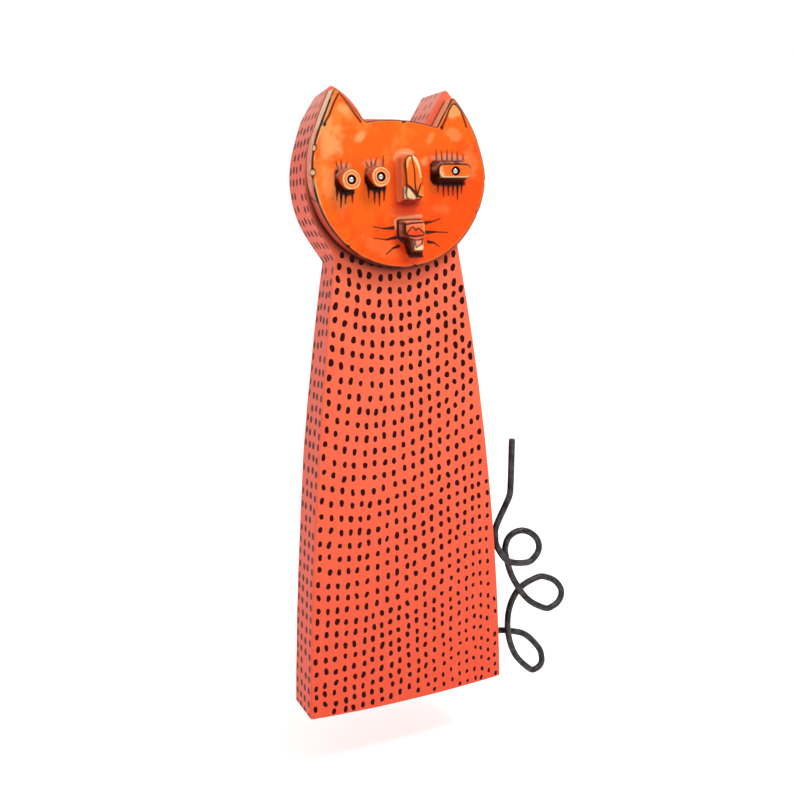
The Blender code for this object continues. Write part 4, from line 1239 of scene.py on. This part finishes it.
def nose_shell():
    """Walls lean in from foot to rim, the edge is softened, and the front rises to a low ridge."""
    foot, rim = loop_of(nose_foot, 14, 3), loop_of(nose_face, 14, 2)
    low = np.interp(rim[:, 1], (-19.5, -13.0), (nostril_fall, 0.0))
    top = nose_height - low
    start, step = np.array(nose_spine[0]), np.array(nose_spine[1]) - np.array(nose_spine[0])
    share = np.clip(((rim - start) @ step) / (step @ step), 0.02, 0.98)
    spine = start + share[:, None] * step
    spine_top = nose_height + nose_ridge * (0.5 + 0.5 * share)
    loops, heights = [foot, foot], [-1.0, 0.0]
    for t in np.linspace(0.12, 0.97, 10):
        loops.append(foot + (rim - foot) * (0.35 + 0.65 * t))
        heights.append(top * t - 0.3)
    for t in np.linspace(0.06, 0.97, 16):
        loops.append(rim + (spine - rim) * t)
        heights.append(top + (spine_top - top) * t ** 0.9)
    loops, heights = np.array(loops), np.array([np.broadcast_to(h, len(rim)) for h in heights])
    x, z = loops[..., 0], loops[..., 1]
    for line, sink in ((nose_middle_line, 0.7), (nostril_lines[0], 0.7), (nostril_lines[1], 0.6)):
        cut = sink * np.exp(-(off_line(x, z, line)[0] / 0.55) ** 2)
        heights = heights - cut * (heights > 8)
    return stack("nose", loops, heights, nose_colour, 35)


nose_shell()

# %% The mouth
mouth_height, lip_fall = 11.0, 1.6
mouth_foot = [(-6.8, -35.2), (-7.0, -49.0), (-1.0, -53.5), (0.8, -59.0), (2.8, -63.2), (13.6, -63.4),
              (13.6, -48.5), (13.6, -35.0)]
mouth_face = [(-5.6, -38.2), (-5.6, -45.4), (-2.2, -48.0), (-1.2, -53.5), (-0.6, -58.4), (9.8, -58.6),
              (10.6, -48.0), (10.4, -38.0)]
mouth_middle = (4.0, -47.6)
top_lip_line = ((-4.2, -45.6), (-1.5, -42.5), (0.5, -41.2), (2.0, -42.4), (3.3, -43.7), (4.5, -42.3),
                (6.5, -42.7), (10.2, -46.2))
parting_line = ((-3.4, -47.4), (3, -48.1), (10.2, -47.3))
low_lip_line = ((-1.6, -50.2), (5, -50.9), (10, -50.0))
teeth_lines = (((2.8, -51.0), (3.3, -53.6), (3.9, -55.2)), ((9.5, -50.6), (8.4, -54.0), (5.3, -55.6)))


def mouth_colour(x, z, height, share):
    """Pale bevels over the top, black down the left, black under the chin as painted shade, red lips,
    pink between.
    """
    colour = lay(glaze_ground(x, z, 9), flame, 0.5)
    wall = 1 - ramp(height, 7.6, 8.6)
    colour = lay(colour, paint(255, 172, 138), wall * ramp(z, -38.6, -36.8))
    left = ramp(-x + 0.1 * (z + 48), 3.6, 5.4)
    colour = layered(colour,
        (lay(np.broadcast_to(paint(120, 66, 50), colour.shape), paint(206, 132, 112),
             cloud(x, z, 2, 65)),
         wall * left),
        (black_and_shade, wall * left * np.clip(ramp(height, 6.6, 7.6) + 1 - ramp(height, 0.8, 1.8), 0, 1)),
        # Painted shade: black on the bottom wall under the chin and on the lower left walls of the chin.
        (black_and_shade, wall * ramp(-z, 58.2, 59.2)),
        (black_and_shade, wall * 0.95 * ramp(-z, 46.0, 49.0) * ramp(-x, -3.5, -0.5)),
        (umber, wall * 0.9 * ramp(z, -36.6, -36.0)))
    front = ramp(height, 7.6, 8.6)
    colour = layered(colour,
        (paint(255, 118, 58), front),
        (paint(250, 140, 108), front * mark(x, z, ((-5, -39.4), (10, -38.6)), 1.6, 1.4, 0.5)),
        (peach, front * ramp(x, 8.6, 10) * ramp(z, -47, -44)),
        (paint(244, 78, 36), front * blot(x, z, (3.2, -45.2), (6.6, 2.6), 0, 0.3, 0.1, 3)),
        (paint(236, 112, 78), front * mark(x, z, ((-2.6, -49), (10, -49.2)), 1.5, 1.3, 0.4)),
        (cream, front * blot(x, z, (6.6, -56.6), (4.2, 2.2), 4, 0.25, 0.15, 3)),
        (paint(104, 62, 52), front * blot(x, z, (0.2, -54.5), (2.4, 5.4), 6, 0.3, 0.1, 3)),
        (paint(250, 150, 128), front * blot(x, z, (5.6, -52.9), (3, 2.4), 0, 0.25, 0.1, 3)))
    left_edge = ((-5.4, -38.6), (-5.4, -45.4), (-3.4, -47.6), (-1.8, -50), (-1.2, -54), (-0.6, -58.4))
    dark = mark(x, z, ((-5.6, -39.4), (0, -38.5), (10.2, -37.9)), 1.3, 1.1, 0.4)
    for line, first, last in ((top_lip_line, 0.9, 0.9), (parting_line, 1.3, 0.9),
                              (low_lip_line, 0.8, 0.8), (teeth_lines[0], 0.8, 0.8),
                              (teeth_lines[1], 0.8, 0.8),
                              (left_edge, 1.5, 1.5), (((-0.8, -58.6), (9.6, -58.8)), 0.9, 0.6)):
        dark = np.maximum(dark, mark(x, z, line, first, last, 0.4))
    dark = np.maximum(dark, blot(x, z, (4.3, -56.2), (0.9, 0.7), 0, 0.3, 0.1, 3))
    dark = np.maximum(dark, blot(x, z, (-4.6, -46.6), (1.8, 1.3), 0, 0.3, 0.1, 3))
    return lay(colour, black_and_shade, 0.94 * dark * front)


def mouth_shell():
    """A block with a sloped top, an upper lip that stands proud and a chin that falls back."""
    foot, rim = loop_of(mouth_foot, 18, 3), loop_of(mouth_face, 18, 2)
    chin = lip_fall * ramp(-rim[:, 1], 47.6, 49.0)
    loops, heights = [foot, foot], [-1.0, 0.0]
    for t in np.linspace(0.1, 0.96, 10):
        loops.append(foot + (rim - foot) * (0.25 + 0.75 * t ** 1.3))
        heights.append((mouth_height - chin) * t - 0.2)
    middle = np.array(mouth_middle)
    for t in np.linspace(0.05, 0.96, 22):
        loop = rim + (middle - rim) * t
        loops.append(loop)
        heights.append(mouth_height - lip_fall * ramp(-loop[:, 1], 47.6, 49.0))
    loops, heights = np.array(loops), np.array([np.broadcast_to(h, len(rim)) for h in heights])
    x, z = loops[..., 0], loops[..., 1]
    for line, sink in ((top_lip_line, 0.45), (parting_line, 1.1), (teeth_lines[0], 0.5),
                       (teeth_lines[1], 0.5)):
        heights = heights - sink * np.exp(-(off_line(x, z, line)[0] / 0.6) ** 2) * (heights > 8)
    return stack("mouth", loops, heights, mouth_colour, 35)


mouth_shell()

# %% [markdown]
# ## Pupils
# The pupils are polished steel balls set in the holes. A ball is the simplest turned form: a half
# circle about an axis. The axis points along the hole, so one pole is at its bottom, out of sight,
# and the other is a flat of a tenth of a millimetre in front.

# %% Steel balls
pupil_radius = 2.6


def polished_steel():
    """Bare bright steel with a faint haze, which makes it a little rougher in places."""
    material, tree, shader = finish_tree("polished steel", 0.10, Metallic=1.0)
    haze = between(tree, noise(tree, place_of(tree), 1.5), 0.4, 0.7, 0.06, 0.16)
    tree.links.new(haze, shader.inputs["Roughness"])
    shader.inputs["Base Color"].default_value = (0.44, 0.45, 0.47, 1.0)
    return material


steel = polished_steel()


def ball_shell(name, node):
    """Latitude from pole to pole by longitude, about the middle of the solid that it replaces."""
    low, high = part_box(node)
    middle = (np.array(low) + np.array(high)) / 2 / mm
    rows, columns = 33, 48
    latitude = np.linspace(0.02, math.pi - 0.02, rows)[:, None]
    longitude = np.linspace(0, 2 * math.pi, columns + 1)[None, :-1]
    x = middle[0] + pupil_radius * np.sin(latitude) * np.cos(longitude)
    z = middle[2] + pupil_radius * np.sin(latitude) * np.sin(longitude)
    y = middle[1] + pupil_radius * np.cos(latitude) * np.ones_like(longitude)
    points = np.stack([x, y, z], -1).reshape(-1, 3)
    faces = grid_faces(rows, columns) + poles(rows, columns)
    return shell(name, points, faces, [steel], node)


for side in ("outer", "inner", "right"):
    ball_shell(f"ball_{side}", f"pupil_{side}")

# %% [markdown]
# ## The tail
# A steel rod was bent cold by hand into three loops. A curve with a bevel would do, but a swept
# circle gives the sawn end and the socket end their own shape. The circle is carried along a
# smooth curve through the bends, square to its way at every step.

# %% Bent rod
rod_radius = 2.75
crossing_step = 2 * rod_radius + 0.7
tail_from_wall, tail_hole_height, tail_socket_depth = 13.0, 29.5, 21.7
# Out from the board's side, up from the hole, and how many rod steps forward.
rod_bends = [(11.5, 0, 0.00), (24, -2.5, 0.03), (40, -8.5, 0.26), (52.5, -22.5, 0.52),
             (55.5, -31.5, 0.65), (54.5, -38.5, 0.74), (48.5, -42, 0.81), (41.5, -40, 0.87),
             (26.5, -23, 1.00),
             (20, -0.5, 1.05), (22.5, 21.5, 1.05), (33.5, 38, 1.10), (51.5, 45.5, 1.29),
             (61.5, 44, 1.42), (70, 38.5, 1.55), (74.5, 30, 1.68), (72, 22, 1.77), (64.5, 17.5, 1.87),
             (55, 17.5, 1.97), (37, 30, 2.08), (23.5, 52, 2.10), (18, 73, 2.13), (18, 81.5, 2.19),
             (21.5, 89, 2.29), (28, 93, 2.39), (35.5, 93.5, 2.52), (43, 90, 2.65), (48.5, 83, 2.77),
             (48.5, 75, 2.90), (43, 68.5, 3.00), (34.5, 65.5, 3.06), (16.5, 70, 3.13), (7, 84, 3.06),
             (6, 93, 3.00), (8, 102.5, 2.94), (19, 119.5, 2.84), (23.5, 127, 2.81), (25.5, 136, 2.81),
             (31, 176.5, 2.81)]


def dark_rod_steel():
    """Dark satin steel: mill scale in patches, paler specks where it is worn, and a dull sheen."""
    material, tree, shader = finish_tree("dark rod steel", 0.42, Metallic=0.75)
    scale = noise(tree, place_of(tree), 6.0, 5.0)
    fine = noise(tree, place_of(tree), 0.9, 3.0)
    colour = blend(tree, between(tree, scale, 0.4, 0.65), paint(44, 41, 42), paint(86, 82, 82))
    colour = blend(tree, between(tree, fine, 0.6, 0.8, 0, 0.35), colour, paint(120, 112, 108))
    tree.links.new(colour, shader.inputs["Base Color"])
    tree.links.new(between(tree, scale, 0.3, 0.7, 0.34, 0.5), shader.inputs["Roughness"])
    rippled(tree, shader, fine, 0.05)
    return material


def tail_shell():
    """A circle in the plane square to the way, from the socket to a slightly domed sawn end."""
    bends = np.array(rod_bends)
    height = bends[:, 1] + tail_hole_height
    side_x = half_width(height - hang_height)
    side = float(half_width(np.array(tail_hole_height - hang_height)))
    corners = np.stack([side_x + bends[:, 0], -tail_from_wall - crossing_step * bends[:, 2],
                        height - hang_height], 1)
    root = np.array([[side - tail_socket_depth, -tail_from_wall, tail_hole_height - hang_height],
                     [side, -tail_from_wall, tail_hole_height - hang_height]])
    way = through(np.vstack([root, corners]), 24)
    walked = np.concatenate([[0], np.cumsum(np.linalg.norm(np.diff(way, axis=0), axis=1))])
    places = np.arange(0, walked[-1], 1.0)
    way = np.stack([np.interp(places, walked, way[:, k]) for k in range(3)], 1)
    ahead = np.gradient(way, axis=0)
    ahead /= np.linalg.norm(ahead, axis=1, keepdims=True)
    across = np.cross(ahead, (0, 1, 0))
    across /= np.linalg.norm(across, axis=1, keepdims=True)
    over = np.cross(across, ahead)
    radius = np.full(len(way), rod_radius)
    ends = np.array([0.35, 0.8, 0.94])
    shift = np.array([0.0, 0.05, 0.35])
    radius[:3], radius[-3:] = rod_radius * ends, rod_radius * ends[::-1]
    way[:3] = way[0] + ahead[0] * shift[:, None]
    way[-3:] = way[-1] - ahead[-1] * shift[::-1, None]
    turns = np.linspace(0, 2 * math.pi, 29)[None, :-1, None]
    radius = radius[:, None, None]
    points = way[:, None] + radius * (across[:, None] * np.cos(turns) + over[:, None] * np.sin(turns))
    rows, columns = points.shape[:2]
    faces = grid_faces(rows, columns) + poles(rows, columns)
    print("rod length in mm:", round(float(walked[-1])))
    return shell("tail_rod", points.reshape(-1, 3), faces, [dark_rod_steel()], "tail")


tail_shell()

# %% [markdown]
# ## Light and floor
# The piece was photographed in bright light from above and in front, with a softer side on the
# left. The world is an even white room with a brighter ceiling, one soft lamp above to the right
# gives the shapes their modelling, and a pale floor lies just below it all.

# %% Light and floor
floor_below, floor_reach = 45.0, 30.0
room_strength, ceiling_strength = 1.02, 0.3
key_place, key_aim, key_size, key_power = (0.5, -1.2, 1.4), (0, 0, -0.15), 0.5, 25


def lamp(name, place, target, size, power):
    """A square lamp of a size in metres and a power in watts, turned to face its target."""
    light = bpy.data.lights.new(name, "AREA")
    light.energy = power
    light.size = size
    item = bpy.data.objects.new(name, light)
    item.location = place
    item.rotation_euler = (Vector(target) - Vector(place)).to_track_quat("-Z", "Y").to_euler()
    bpy.context.scene.collection.objects.link(item)


def studio():
    """White from every side, rising to the ceiling's strength above, with one lamp and a floor."""
    world = bpy.data.worlds.new("white room")
    world.use_nodes = True
    tree = world.node_tree
    tree.nodes["Background"].inputs["Color"].default_value = (1.0, 1.0, 1.0, 1.0)
    direction = tree.nodes.new("ShaderNodeTexCoord").outputs["Generated"]
    upwards = put(tree, "ShaderNodeSeparateXYZ", direction, out=2)
    strength = between(tree, upwards, 0.3, 0.9, room_strength, room_strength + ceiling_strength)
    tree.links.new(strength, tree.nodes["Background"].inputs["Strength"])
    bpy.context.scene.world = world
    bpy.context.scene.view_settings.view_transform = "Standard"
    lamp("key", key_place, key_aim, key_size, key_power)
    level = cad_low[2] - floor_below * mm
    mesh = bpy.data.meshes.new("floor")
    corners = ((-1, -1), (1, -1), (1, 1), (-1, 1))
    spread = [(x * floor_reach, y * floor_reach, level) for x, y in corners]
    mesh.from_pydata(spread, [], [(0, 1, 2, 3)])
    floor = bpy.data.objects.new("floor", mesh)
    bpy.context.scene.collection.objects.link(floor)
    material, tree, shader = finish_tree("pale floor", 0.8)
    shader.inputs["Base Color"].default_value = (0.97, 0.97, 0.97, 1.0)
    mesh.materials.append(material)


studio()
